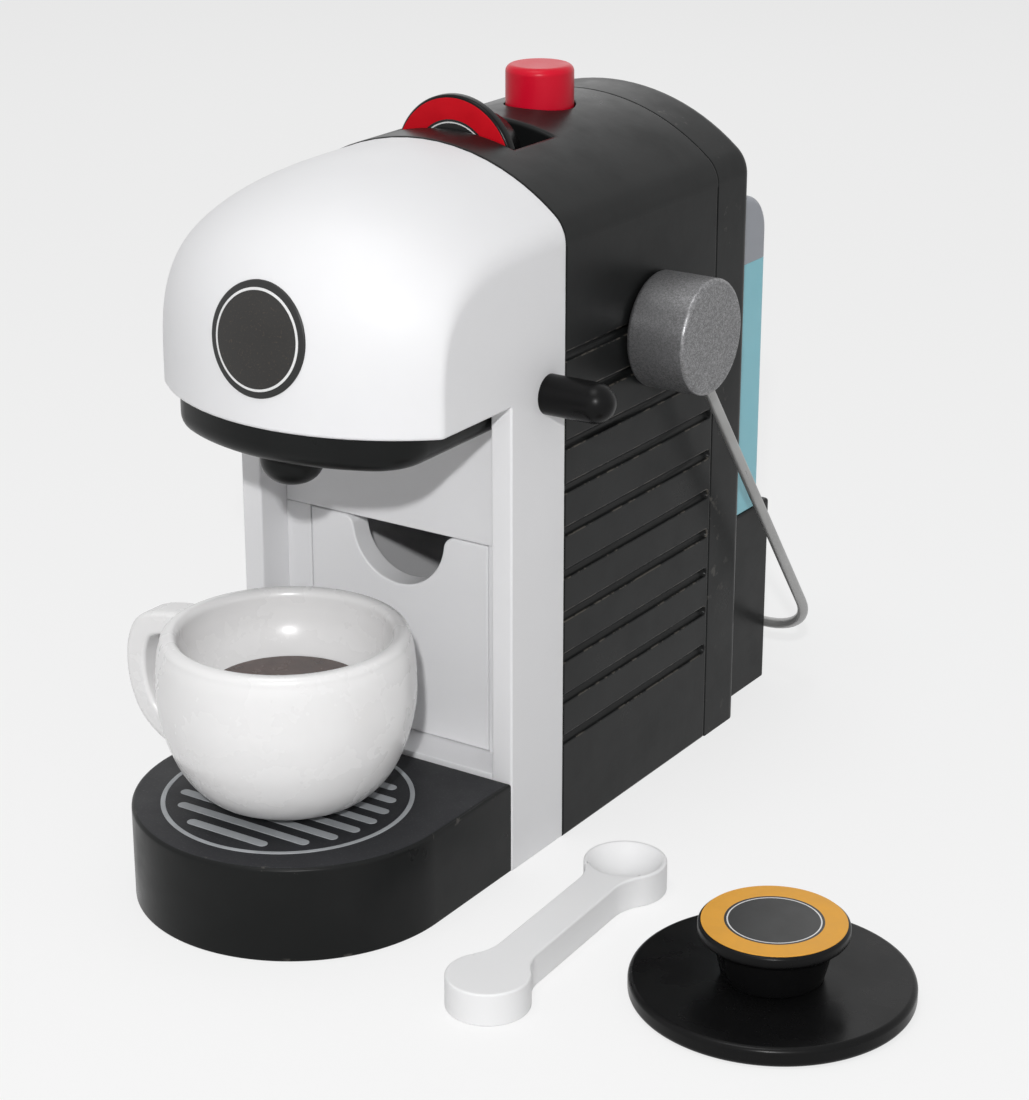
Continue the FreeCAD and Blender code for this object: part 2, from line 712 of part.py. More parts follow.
def bin_back():
    y1 = PANEL_FRONT + BIN_DEPTH
    return box(-bin_inside(), bin_inside(), y1 - BIN_BOARD, y1,
               RAIL_HEIGHT + BIN_GAP, OPENING_TOP - BIN_SIDE_DROP)


def bin_floor():
    return box(-bin_inside(), bin_inside(), PANEL_FRONT + BIN_FRONT_THICKNESS,
               PANEL_FRONT + BIN_DEPTH - BIN_BOARD,
               RAIL_HEIGHT + BIN_GAP, RAIL_HEIGHT + BIN_GAP + BIN_FLOOR)


# Water tank

def upright_back_corners(y):
    def test(edge):
        return edge.BoundBox.ZLength > 5 and abs(edge.BoundBox.Center.y - y) < 0.01 \
            and edge.BoundBox.XLength < 0.01
    return test


def tank_base():
    back = REAR_BACK + BASE_DEPTH
    block = box(-TANK_WIDTH / 2, TANK_WIDTH / 2, REAR_BACK, back, 0, TANK_FOOT)
    return round_edges(block, BASE_CORNER, upright_back_corners(back))


def water_tank():
    front = REAR_BACK + SLIDE_GAP
    back = REAR_BACK + TANK_DEPTH
    block = box(-TANK_WIDTH / 2, TANK_WIDTH / 2, front, back,
                TANK_SEAT, TANK_SEAT + TANK_BODY_HEIGHT)
    return round_edges(block, TANK_CORNER, upright_back_corners(back))


def tank_lid():
    front = REAR_BACK + SLIDE_GAP
    back = REAR_BACK + TANK_DEPTH
    foot = TANK_SEAT + TANK_BODY_HEIGHT
    top = foot + TANK_LID_HEIGHT
    block = box(-TANK_WIDTH / 2, TANK_WIDTH / 2, front, back, foot, top)
    block = round_edges(block, TANK_CORNER, upright_back_corners(back))

    def back_top(edge):
        return flat_at(edge, top, 2) and flat_at(edge, back, 1)

    return round_edges(block, TANK_LID_ROUND, back_top)


# Capsules

def capsule_profile():
    """Outline of a capsule from its axis out, foot at zero height, face at the top."""
    top = CAPSULE_HEIGHT
    under = top - FLANGE_THICKNESS
    return [(0, 0), (CAPSULE_FOOT, 0), (CAPSULE_NECK, under), (FLANGE_RADIUS, under),
            (FLANGE_RADIUS, top - FLANGE_EDGE), (FLANGE_RADIUS - FLANGE_EDGE, top),
            (LABEL_RADIUS, top), (LABEL_RADIUS, top - LETTING_IN), (0, top - LETTING_IN)]


def capsule():
    points = [Vector(r, 0, z) for r, z in capsule_profile()]
    return revolve(points, Vector(0, 0, 0), Z_AXIS)


def capsule_label():
    return cylinder(LABEL_RADIUS, LABEL_THICKNESS,
                    Vector(0, 0, CAPSULE_HEIGHT - LETTING_IN), Z_AXIS)


def on_saucer(piece):
    piece.translate(Vector(SAUCER_X, FRAME_FRONT - SAUCER_FROM_FRONT,
                           SAUCER_THICKNESS + SLIDE_GAP))
    return piece


def in_slot(piece):
    """Laid over so that the face looks forward, with the flange just inside the slot."""
    piece.rotate(Vector(0, 0, 0), X_AXIS, 90)
    back = FRAME_FRONT + SLOT_FROM_FRONT + SLIDE_GAP + CAPSULE_HEIGHT
    piece.translate(Vector(0, back, RED_CAPSULE_HEIGHT))
    return piece


# Cup, saucer and spoon

def cup_body():
    """A round cup with a thick lip, turned from one outline."""
    mid_lip = (CUP_RIM + CUP_MOUTH) / 2
    lip = (CUP_RIM - CUP_MOUTH) / 2
    spread = CUP_BELLY - CUP_FOOT
    foot = Vector(CUP_FOOT, 0, 0)
    low = Vector(CUP_FOOT + spread * 0.40, 0, CUP_BELLY_HEIGHT * 0.10)
    swell = Vector(CUP_FOOT + spread * 0.70, 0, CUP_BELLY_HEIGHT * 0.285)
    flank = Vector(CUP_FOOT + spread * 0.89, 0, CUP_BELLY_HEIGHT * 0.54)
    belly = Vector(CUP_BELLY, 0, CUP_BELLY_HEIGHT)
    lip_out = Vector(CUP_RIM, 0, CUP_HEIGHT - lip)
    lip_top = Vector(mid_lip, 0, CUP_HEIGHT)
    lip_in = Vector(CUP_MOUTH, 0, CUP_HEIGHT - lip)
    depth = CUP_HEIGHT - CUP_CAVITY
    floor = Vector(CUP_CAVITY_FLOOR, 0, depth)
    hollow = Vector(CUP_MOUTH - 1.6, 0, (lip_in.z + depth) / 2)
    outside = Part.BSplineCurve()
    outside.interpolate(Points=[foot, low, swell, flank, belly, lip_out],
                        InitialTangent=Vector(1, 0, 0.28), FinalTangent=Vector(-0.3, 0, 1))
    edges = [line(Vector(0, 0, 0), foot), outside.toShape(), arc(lip_out, lip_top, lip_in),
             arc(lip_in, hollow, floor), line(floor, Vector(0, 0, depth)),
             line(Vector(0, 0, depth), Vector(0, 0, 0))]
    return Part.Face(Part.Wire(edges)).revolve(Vector(0, 0, 0), Z_AXIS, 360)


def handle_loop(inset):
    """Outline of the handle, seen along Y: out from the lip, round and back in to the foot."""
    top = HANDLE_TOP - inset
    foot = HANDLE_BOTTOM + inset
    reach = HANDLE_REACH - inset
    start = Vector(-CUP_MOUTH + HANDLE_ROOT / 2, 0, top)
    side = Vector(-reach, 0, HANDLE_WIDEST)
    upper = [Vector(-reach * share, 0, top - (top - HANDLE_WIDEST) * drop)
             for share, drop in ((0.72, 0.05), (0.92, 0.27))]
    lower = [Vector(-reach * share, 0, foot + (HANDLE_WIDEST - foot) * rise)
             for share, rise in ((0.93, 0.39), (0.82, 0.17))]
    end = Vector(-CUP_FOOT - HANDLE_ROOT, 0, foot)
    sweep = Part.BSplineCurve()
    sweep.interpolate(Points=[start] + upper + [side] + lower + [end],
                      InitialTangent=Vector(-1, 0, 0), FinalTangent=Vector(1, 0, 0))
    inner = Vector(-CUP_FOOT - HANDLE_ROOT / 2, 0, (top + foot) / 2)
    return [sweep.toShape(), line(end, inner), line(inner, start)]


def cup():
    outer = prism(handle_loop(0), Y_AXIS * HANDLE_WIDTH)
    hole = prism(handle_loop(HANDLE_THICKNESS), Y_AXIS * HANDLE_WIDTH)
    handle = outer.cut(hole)
    handle.translate(Y_AXIS * (-HANDLE_WIDTH / 2))
    mid_wall = (CUP_RIM + CUP_MOUTH) / 2
    inside = cylinder(mid_wall, CUP_CAVITY, Vector(0, 0, CUP_HEIGHT - CUP_CAVITY), Z_AXIS)
    piece = cup_body().fuse(handle.cut(inside)).removeSplitter()
    piece.translate(Vector(CUP_X, CUP_Y, CUP_SEAT))
    return piece


def coffee_disc():
    floor = CUP_SEAT + CUP_HEIGHT - CUP_CAVITY
    return cylinder(CUP_CAVITY_FLOOR - AXLE_GAP, COFFEE_THICKNESS,
                    Vector(CUP_X, CUP_Y, floor), Z_AXIS)


def saucer():
    centre = Vector(SAUCER_X, FRAME_FRONT - SAUCER_FROM_FRONT, 0)
    disc = cylinder(SAUCER_RADIUS, SAUCER_THICKNESS, centre, Z_AXIS)
    return round_edges(disc, SAUCER_EDGE, lambda edge: flat_at(edge, edge.BoundBox.ZMin, 2))


def spoon():
    """Sawn from a flat board: two round ends joined by a straight shank, one end hollowed."""
    front = Vector(SPOON_FRONT_X, FRAME_FRONT - SPOON_FRONT_REACH, 0)
    back = Vector(SPOON_BACK_X, FRAME_FRONT + SPOON_BACK_REACH, 0)
    length = (back - front).Length
    ends = [cylinder(SPOON_END, SPOON_THICKNESS, Vector(0, 0, 0), Z_AXIS),
            cylinder(SPOON_BOWL_END, SPOON_THICKNESS, Vector(0, length, 0), Z_AXIS)]
    shank = box(-SPOON_SHANK, SPOON_SHANK, 0, length, 0, SPOON_THICKNESS)
    board = shank.fuse(ends).removeSplitter()

    def inner_corner(edge):
        middle = edge.BoundBox.Center
        return edge.BoundBox.ZLength > 1 and abs(abs(middle.x) - SPOON_SHANK) < 0.01

    board = round_edges(board, SPOON_FILLET, inner_corner)
    board = round_edges(board, SPOON_EDGE, lambda edge: flat_at(edge, SPOON_THICKNESS, 2))
    ball_radius = (SPOON_BOWL ** 2 + SPOON_BOWL_DEPTH ** 2) / (2 * SPOON_BOWL_DEPTH)
    hollow = Part.makeSphere(
        ball_radius, Vector(0, length, SPOON_THICKNESS + ball_radius - SPOON_BOWL_DEPTH))
    board = board.cut(hollow)
    turn = math.degrees(math.atan2(back.y - front.y, back.x - front.x)) - 90
    board.rotate(Vector(0, 0, 0), Z_AXIS, turn)
    board.translate(front)
    return board


def build():
    whole_dome = dome()
    grille = grille_solids()
    nodes = {
        "head": head(whole_dome),
        "head_badge": head_badge(whole_dome),
        "front_frame": front_frame(whole_dome),
        "front_panel": front_panel(),
        "bottom_rail": bottom_rail(),
        "brew_plate": brew_plate(),
        "spout": spout(),
        "drip_tray": tray_blank().cut(grille),
        "drip_grille": Part.makeCompound(grille),
        "top_block": top_block(),
        "rear_panel": rear_panel(),
        "base_board": base_board(),
        "tank_base": tank_base(),
        "button_plug": button_plug(),
        "button_cap": button_cap(),
        "button_spring": button_spring(),
        "lever_axle": lever_axle(),
        "capsule_gate": capsule_gate(),
        "bail_wire": bail_wire(),
        "bin_front": bin_front(),
        "bin_back": bin_back(),
        "bin_floor": bin_floor(),
        "water_tank": water_tank(),
        "tank_lid": tank_lid(),
        "cup": cup(),
        "coffee_disc": coffee_disc(),
        "saucer": saucer(),
        "spoon": spoon(),
        "capsule_red": in_slot(capsule()),
        "capsule_red_label": in_slot(capsule_label()),
        "capsule_orange": on_saucer(capsule()),
        "capsule_orange_label": on_saucer(capsule_label()),
    }
    for name, sign in SIDES:
        nodes["panel_strip_" + name] = panel_strip(sign)
        nodes["side_board_" + name] = side_board(sign)
        nodes["bin_runner_" + name] = bin_runner(sign)
        nodes["stop_peg_" + name] = stop_peg(sign)
        nodes["knob_" + name] = knob(sign)
        nodes["bin_side_" + name] = bin_side(sign)
    return nodes


def main():
    os.makedirs("parts", exist_ok=True)
    for name, shape in build().items():
        shape.exportStep("parts/" + name + ".step")
        print(name, "solids", len(shape.Solids), "volume", round(shape.Volume, 1),
              "valid", shape.isValid())


main()
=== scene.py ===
import json
import math
import bpy
import bmesh
from mathutils import Matrix, Vector

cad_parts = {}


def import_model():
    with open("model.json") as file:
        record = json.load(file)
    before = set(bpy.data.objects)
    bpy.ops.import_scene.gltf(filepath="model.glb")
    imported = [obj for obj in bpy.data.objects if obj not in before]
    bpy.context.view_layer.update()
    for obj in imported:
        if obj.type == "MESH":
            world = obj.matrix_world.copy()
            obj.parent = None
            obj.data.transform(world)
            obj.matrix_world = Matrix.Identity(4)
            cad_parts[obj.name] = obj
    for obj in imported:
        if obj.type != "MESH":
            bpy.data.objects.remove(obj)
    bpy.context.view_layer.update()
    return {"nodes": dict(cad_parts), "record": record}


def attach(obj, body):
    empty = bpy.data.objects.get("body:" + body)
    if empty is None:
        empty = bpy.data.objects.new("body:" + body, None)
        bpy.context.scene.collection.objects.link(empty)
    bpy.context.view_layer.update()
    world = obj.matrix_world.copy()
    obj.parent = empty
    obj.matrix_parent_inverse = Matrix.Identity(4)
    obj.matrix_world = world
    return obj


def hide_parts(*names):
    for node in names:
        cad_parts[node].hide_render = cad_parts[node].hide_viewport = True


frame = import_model()
MM = 0.001

# Sizes shared with the CAD source, in millimetres
FRONT = -65.8            # white frame's front
CASING_FRONT = -40.2
CASING_BACK = 40.2
REAR_BACK = 59.8
HALF = 45.0
CASING_HALF = 45.3
TOP = 193.5
ARCH = 64.3
SHOULDER = 9.9
BAY = 133.2
LEG = 6.6
PANEL = -54.4
RAIL = 27.9
OPENING = 30.0
OPENING_TOP = 88.8
HEAD_REACH = 49.0
HEAD_ARC = 64.6
PLATE_FOOT = 123.8
AXLE_Y = 5.8
AXLE_Z = 137.7
BUTTON_Y = 17.2
CUP = Vector((-0.6, -104.6, 27.0))
# Sizes of the dressing alone
BORDER = 0.7             # width of the rubbed border beside an eased edge
SHARP_EDGE = 2.5         # edges rounded more than this show no wear
CORNER = 2.6             # soft corner between the head's front and its flat side
EASE = 1.0               # rounding of the head's lower edge
DOME_FOOT = BAY + EASE
GAP = 0.3                # running gap between pieces
PANEL_THICK = 9.0


# Mesh helpers

def place_z(u, v, level):
    return (u, v, level)


def along_y(u, v, level):
    """Outline in X and Z, carried along Y."""
    return (u, level, v)


def along_x(u, v, level):
    """Outline in Y and Z, carried along X."""
    return (level, u, v)


def piece(name, verts, faces, material, body, nodes=(), slot=None, bevel=0.0, sharp=38, worn=()):
    """One mesh object in the row's frame, riding on its body and standing in for its CAD nodes."""
    bm = bmesh.new()
    wear = bm.verts.layers.float.new("wear")
    made = [bm.verts.new((x * MM, y * MM, z * MM)) for x, y, z in verts]
    for face in faces:
        if len(set(face)) > 2:
            bm.faces.new([made[i] for i in face])
    for i in worn:
        made[i][wear] = 1.0
    bmesh.ops.remove_doubles(bm, verts=bm.verts, dist=2e-6)
    bmesh.ops.dissolve_degenerate(bm, edges=bm.edges, dist=1e-6)
    bmesh.ops.recalc_face_normals(bm, faces=bm.faces)
    if bevel:
        limit = math.radians(35)
        edges = [e for e in bm.edges if len(e.link_faces) == 2 and e.calc_face_angle() > limit]
        out = bmesh.ops.bevel(bm, geom=edges, offset=bevel * MM, segments=2, profile=0.5,
                              affect="EDGES", clamp_overlap=True)
        eased_faces = set(out["faces"])
        flats = [face for face in bm.faces if face not in eased_faces]
        for face in eased_faces:
            for vert in face.verts:
                vert[wear] = 1.0
        bmesh.ops.inset_individual(bm, faces=flats, thickness=BORDER * MM)
        for face in flats:
            for vert in face.verts:
                vert[wear] = 0.0
    limit = math.radians(sharp)
    for face in bm.faces:
        face.smooth = True
    for edge in bm.edges:
        if len(edge.link_faces) == 2 and edge.calc_face_angle() > limit:
            edge.smooth = False
    mesh = bpy.data.meshes.new(name)
    bm.to_mesh(mesh)
    bm.free()
    obj = bpy.data.objects.new(name, mesh)
    bpy.context.scene.collection.objects.link(obj)
    mesh.materials.append(material)
    weighted = obj.modifiers.new("Normals", "WEIGHTED_NORMAL")
    weighted.keep_sharp = True
    weighted.weight = 80
    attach(obj, body)
    if nodes:
        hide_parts(*nodes)
    return obj


def bridge(rings):
    """Quads between rings of equally many points."""
    count = len(rings[0])
    return [(a[i], a[(i + 1) % count], b[(i + 1) % count], b[i])
            for a, b in zip(rings, rings[1:]) for i in range(count)]


def quads(columns):
    """Faces between neighbouring columns of a grid."""
    return [(a[i], b[i], b[i + 1], a[i + 1])
            for a, b in zip(columns, columns[1:]) for i in range(len(a) - 1)]


def number(verts, rings):
    """Adds each ring's points to verts and gives back their numbers, ring by ring."""
    index = []
    for ring in rings:
        index.append(list(range(len(verts), len(verts) + len(ring))))
        verts += ring
    return index


def skin(name, rings, material, body, nodes=(), slot=None, ends=(True, True), **more):
    """One skin through rings of equally many points. ends says which of the two is closed."""
    verts = []
    index = number(verts, rings)
    faces = bridge(index)
    if ends[0]:
        faces.append(index[0][::-1])
    if ends[1]:
        faces.append(index[-1])
    return piece(name, verts, faces, material, body, nodes, slot, **more)


def circle(radius, count):
    angles = [2 * math.pi * i / count for i in range(count)]
    return [(radius * math.cos(angle), radius * math.sin(angle)) for angle in angles]


def inset_outline(points, inset):
    """Each point of a closed anticlockwise outline moves in by inset, square to both its edges."""
    if abs(inset) < 1e-9:
        return list(points)
    out = []
    count = len(points)
    for i in range(count):
        ax, ay = points[i - 1]
        bx, by = points[i]
        cx, cy = points[(i + 1) % count]
        d1 = Vector((bx - ax, by - ay)).normalized()
        d2 = Vector((cx - bx, cy - by)).normalized()
        n1 = Vector((-d1.y, d1.x))
        n2 = Vector((-d2.y, d2.x))
        mid = (n1 + n2).normalized()
        reach = inset / max(mid.dot(n1), 0.35)
        out.append((bx + mid.x * reach, by + mid.y * reach))
    return out


def eased(low, high, low_round, high_round, steps=4):
    """Inset, level and wear of each ring of a slab with rounded edges."""
    rings = []
    for level, up, radius in ((low, 1, low_round), (high, -1, high_round)):
        turns = [math.pi / 2 * i / steps for i in range(steps + 1 if radius else 1)]
        worn = 1.0 if 0 < radius < SHARP_EDGE else 0.0
        edge = [(radius * (1 - math.sin(turn)), level + up * radius * (1 - math.cos(turn)), worn)
                for turn in turns]
        if radius:
            edge = [(radius + BORDER, level, 0.0)] + edge + [(0.0, level + up * (radius + BORDER), 0.0)]
        rings += edge[::up]
    return rings


def slab(name, outline, rings, place, material, body, nodes=(), slot=None, **more):
    """A closed form whose rings are insets of one outline, each at its own level."""
    points = [[place(u, v, level) for u, v in inset_outline(outline, inset)] for inset, level, _ in rings]
    count = len(outline)
    worn = [i * count + k for i, ring in enumerate(rings) if ring[2] for k in range(count)]
    return skin(name, points, material, body, nodes, slot, worn=worn, **more)


def arc_points(cx, cy, radius, start, end, steps):
    out = []
    for i in range(steps + 1):
        angle = math.radians(start + (end - start) * i / steps)
        out.append((cx + radius * math.cos(angle), cy + radius * math.sin(angle)))
    return out


def rounded_rect(x0, x1, y0, y1, radii, steps=5):
    """Anticlockwise. radii: lower left, lower right, upper right, upper left."""
    a, b, c, d = radii
    out = []
    for cx, cy, r, start in ((x0 + a, y0 + a, a, 180), (x1 - b, y0 + b, b, 270),
                             (x1 - c, y1 - c, c, 0), (x0 + d, y1 - d, d, 90)):
        if r:
            out += arc_points(cx, cy, r, start, start + 90, steps)
        else:
            out.append((cx, cy))
    return out


def board(name, low, high, edge, material, body, nodes=(), slot=None):
    """A box with eased, rubbed edges."""
    verts = [(x, y, z) for x in (low[0], high[0]) for y in (low[1], high[1]) for z in (low[2], high[2])]
    faces = [(0, 1, 3, 2), (4, 6, 7, 5), (0, 4, 5, 1), (2, 3, 7, 6), (0, 2, 6, 4), (1, 5, 7, 3)]
    return piece(name, verts, faces, material, body, nodes, slot, bevel=edge)


def lathe(name, profile, centre, axis, material, body, nodes=(), slot=None, count=96, **more):
    """Turns (radius, height) points round the Z or X axis. Points near the axis close the form."""
    cx, cy, cz = centre
    rings = []
    for radius, height in profile:
        if axis == "Z":
            rings.append([(cx + u, cy + v, cz + height) for u, v in circle(radius, count)])
        else:
            rings.append([(cx + height, cy + u, cz + v) for u, v in circle(radius, count)])
    return skin(name, rings, material, body, nodes, slot, **more)


# The arched outline, as in the CAD source

SX = HALF - SHOULDER
SZ = TOP - ARCH + math.sqrt((ARCH - SHOULDER) ** 2 - SX ** 2)
TURN = math.atan2(SZ - (TOP - ARCH), SX)


def arch_height(x, grow=0.0):
    top_centre = TOP - ARCH
    big = ARCH + grow
    small = SHOULDER + grow
    tangent = SX * big / (ARCH - SHOULDER)
    if abs(x) <= tangent:
        return top_centre + math.sqrt(big ** 2 - x ** 2)
    return SZ + math.sqrt(max(small ** 2 - (abs(x) - SX) ** 2, 0.0))


def arch_outline(foot, grow):
    """Anticlockwise from the lower right corner."""
    turn = math.degrees(TURN)
    out = [(HALF + grow, foot)] + arc_points(SX, SZ, SHOULDER + grow, 0, turn, 8)
    out += arc_points(0, TOP - ARCH, ARCH + grow, turn, 180 - turn, 26)[1:-1]
    out += [(-x, z) for x, z in arc_points(SX, SZ, SHOULDER + grow, turn, 0, 8)]
    out.append((-HALF - grow, foot))
    return out


# Materials

def add_node(tree, kind, **values):
    """A new shader node. The values go to its inputs by name, with _ for a space."""
    node = tree.nodes.new("ShaderNode" + kind)
    for socket, value in values.items():
        node.inputs[socket.replace("_", " ")].default_value = value
    return node


class Graph:
    """Short forms for the nodes that the materials share."""

    def __init__(self, name):
        self.material = bpy.data.materials.new(name)
        self.material.use_nodes = True
        self.tree = self.material.node_tree
        self.tree.nodes.clear()
        out = add_node(self.tree, "OutputMaterial")
        self.shader = add_node(self.tree, "BsdfPrincipled")
        self.link(self.shader.outputs[0], out.inputs[0])
        self.coord = add_node(self.tree, "TexCoord")

    def link(self, a, b):
        self.tree.links.new(a, b)

    def set(self, **values):
        """Values that are the same all over, set on the shader's own sockets."""
        for socket, value in values.items():
            self.shader.inputs[socket.replace("_", " ")].default_value = value

    def drive(self, socket, value):
        self.link(value, self.shader.inputs[socket])

    def stretch(self, scale):
        mapping = add_node(self.tree, "Mapping", Scale=scale)
        self.link(self.coord.outputs["Object"], mapping.inputs["Vector"])
        return mapping.outputs[0]

    def noise(self, scale, detail=3.0, roughness=0.55, distortion=0.0, stretch=(1, 1, 1)):
        node = add_node(self.tree, "TexNoise", Scale=scale, Detail=detail, Roughness=roughness,
                        Distortion=distortion)
        self.link(self.stretch(stretch), node.inputs["Vector"])
        return node.outputs["Fac"]

    def cells(self, scale, channel):
        """One colour channel of small cells, each with a tone of its own."""
        node = add_node(self.tree, "TexVoronoi", Scale=scale, Randomness=1.0)
        self.link(self.stretch((1, 1, 1)), node.inputs["Vector"])
        split = add_node(self.tree, "SeparateColor")
        self.link(node.outputs["Color"], split.inputs[0])
        return split.outputs[channel]

    def ramp(self, value, stops):
        node = add_node(self.tree, "ValToRGB")
        elements = node.color_ramp.elements
        while len(elements) < len(stops):
            elements.new(0.5)
        for element, (place, colour) in zip(elements, stops):
            element.position = place
            element.color = (*colour, 1.0)
        self.link(value, node.inputs["Fac"])
        return node.outputs["Color"]

    def span(self, value, low, high, a=0.0, b=1.0):
        node = add_node(self.tree, "MapRange", From_Min=low, From_Max=high, To_Min=a, To_Max=b)
        self.link(value, node.inputs["Value"])
        return node.outputs[0]

    def feed(self, socket, value):
        """Links an output, or sets a number or a colour."""
        if isinstance(value, (tuple, list)):
            socket.default_value = (*value, 1.0)
        elif isinstance(value, (int, float)):
            socket.default_value = value
        else:
            self.link(value, socket)

    def math(self, how, a, b):
        node = add_node(self.tree, "Math")
        node.operation = how
        for socket, value in zip(node.inputs, (a, b)):
            self.feed(socket, value)
        return node.outputs[0]

    def mix(self, factor, a, b):
        node = add_node(self.tree, "Mix")
        node.data_type = "RGBA"
        for place, value in ((0, factor), (6, a), (7, b)):
            self.feed(node.inputs[place], value)
        return node.outputs[2]

    def wear(self):
        node = add_node(self.tree, "Attribute")
        node.attribute_name = "wear"
        return node.outputs["Fac"]

    def bump(self, parts):
        """parts: (height, strength, distance in mm), laid one on another."""
        last = None
        for height, strength, distance in parts:
            node = add_node(self.tree, "Bump", Strength=strength, Distance=distance * MM)
            self.link(height, node.inputs["Height"])
            if last:
                self.link(last, node.inputs["Normal"])
            last = node.outputs[0]
        self.drive("Normal", last)


def lacquer(name, colour, worn, rough=(0.28, 0.42), specular=0.5, coat=0.0, grain=(1, 0.12, 1),
            orange_peel=0.35, grain_height=0.3, tint=0.05, chip=0.62, speckle=0.0, sway=0.2):
    """Brushed lacquer over wood: faint grain, orange peel, cloudy gloss and rubbed edges."""
    g = Graph(name)
    cloud = g.noise(22, 3, 0.6)
    grain_noise = g.noise(260, 3, 0.6, 0.4, grain)
    peel = g.noise(620, 2, 0.5)
    dark = tuple(c * (1 - tint) for c in colour)
    light = tuple(min(c * (1 + tint * 0.7) + 0.002, 1) for c in colour)
    base = g.ramp(cloud, ((0.3, dark), (0.55, colour), (0.75, light)))
    if speckle:
        fine = g.noise(1500, 2, 0.6)
        dots = g.span(fine, 0.60, 0.68, 0.0, speckle)
        base = g.mix(dots, base, tuple(min(c * 2.4 + 0.02, 1) for c in colour))
    edge = g.math("MULTIPLY", g.wear(), g.span(g.noise(190, 4, 0.65), chip, chip + 0.06))
    base = g.mix(edge, base, worn)
    g.drive("Base Color", base)
    g.drive("Roughness", g.span(g.noise(55, 4, 0.6), 0.3, 0.7, *rough))
    g.set(Specular_IOR_Level=specular, Coat_Weight=coat, Coat_Roughness=0.12)
    g.bump(((cloud, sway, 0.2), (grain_noise, grain_height, 0.035), (peel, orange_peel, 0.02)))
    return g.material


def silver_lacquer(name):
    """Aluminium flakes in lacquer: a crowd of small bright and dark grains."""
    g = Graph(name)
    both = g.math("ADD", g.math("MULTIPLY", g.cells(4200, 0), 0.6),
                  g.math("MULTIPLY", g.cells(2000, 1), 0.4))
    base = g.ramp(both, ((0.15, (0.13, 0.13, 0.133)), (0.5, (0.19, 0.19, 0.195)),
                         (0.85, (0.29, 0.29, 0.295))))
    edge = g.math("MULTIPLY", g.wear(), g.span(g.noise(240, 4, 0.6), 0.6, 0.66))
    g.drive("Base Color", g.mix(edge, base, (0.20, 0.19, 0.18)))
    g.drive("Roughness", g.span(both, 0.2, 0.8, 0.52, 0.34))
    g.set(Metallic=0.72, Coat_Weight=0.1, Coat_Roughness=0.25)
    g.bump(((g.noise(60, 3, 0.6), 0.2, 0.2), (both, 0.35, 0.03)))
    return g.material


def drawn_steel(name):
    g = Graph(name)
    lines = g.noise(90, 4, 0.7, 0.0, (14, 1, 1))
    dull = g.noise(30, 3, 0.6)
    g.drive("Base Color", g.ramp(dull, ((0.3, (0.34, 0.34, 0.335)), (0.7, (0.44, 0.44, 0.435)))))
    g.drive("Roughness", g.span(lines, 0.3, 0.7, 0.26, 0.44))
    g.set(Metallic=0.5)
    g.bump(((lines, 0.25, 0.02),))
    return g.material


def bare_wood(name):
    g = Graph(name)
    rings = g.noise(60, 5, 0.6, 1.2, (1, 0.09, 1))
    pores = g.noise(900, 2, 0.6, 0.0, (1, 0.06, 1))
    base = g.ramp(rings, ((0.3, (0.50, 0.35, 0.21)), (0.5, (0.63, 0.47, 0.30)),
                          (0.72, (0.72, 0.57, 0.39))))
    base = g.mix(g.span(pores, 0.6, 0.72, 0.0, 0.5), base, (0.36, 0.24, 0.14))
    g.drive("Base Color", base)
    g.drive("Roughness", g.span(rings, 0.3, 0.7, 0.62, 0.8))
    g.bump(((pores, 0.5, 0.05), (rings, 0.3, 0.05)))
    return g.material


def print_ink(name, colour, rough=0.34, mottled=0.08, flecks=0.0, fleck_colour=(0.3, 0.2, 0.12),
              specular=0.5):
    """Printed ink: a cloudy tone, and flecks where it is thin."""
    g = Graph(name)
    g.set(Specular_IOR_Level=specular)
    cloud = g.noise(120, 4, 0.65)
    low = tuple(c * (1 - mottled) for c in colour)
    high = tuple(min(c * (1 + mottled) + 0.002, 1) for c in colour)
    base = g.ramp(cloud, ((0.3, low), (0.7, high)))
    if flecks:
        dots = g.span(g.noise(1900, 2, 0.7), 0.60, 0.70, 0.0, flecks)
        base = g.mix(dots, base, fleck_colour)
    g.drive("Base Color", base)
    g.drive("Roughness", g.span(cloud, 0.3, 0.7, rough, rough + 0.1))
    g.bump(((g.noise(1300, 2, 0.6), 0.3, 0.015), (cloud, 0.2, 0.04)))
    return g.material


white = lacquer("white_lacquer", (0.80, 0.80, 0.812), (0.60, 0.58, 0.55), rough=(0.4, 0.52),
                specular=0.3, grain=(0.12, 1, 1), tint=0.012, orange_peel=0.25, chip=0.7, sway=0.08)
white_gloss = lacquer("cup_lacquer", (0.80, 0.795, 0.795), (0.66, 0.64, 0.61), rough=(0.25, 0.29),
                      coat=0.1, grain=(1, 1, 0.15), tint=0.004, chip=0.74, sway=0.05)
white_spoon = lacquer("spoon_lacquer", (0.82, 0.82, 0.825), (0.62, 0.59, 0.54), rough=(0.46, 0.6),
                      grain=(1, 0.1, 1), tint=0.012, grain_height=0.5, chip=0.7)
black_look = {"rough": (0.26, 0.42), "specular": 0.13, "grain": (1, 0.1, 1), "tint": 0.15,
              "orange_peel": 0.45, "grain_height": 0.4}
black = lacquer("black_lacquer", (0.0075, 0.008, 0.008), (0.06, 0.057, 0.052), **black_look)
black_rubbed = lacquer("black_rubbed", (0.0075, 0.008, 0.008), (0.07, 0.064, 0.055), chip=0.5,
                       **black_look)
black_gloss = lacquer("black_turned", (0.005, 0.005, 0.0052), (0.06, 0.056, 0.052),
                      rough=(0.22, 0.36), specular=0.12, grain=(1, 1, 0.1), tint=0.15)
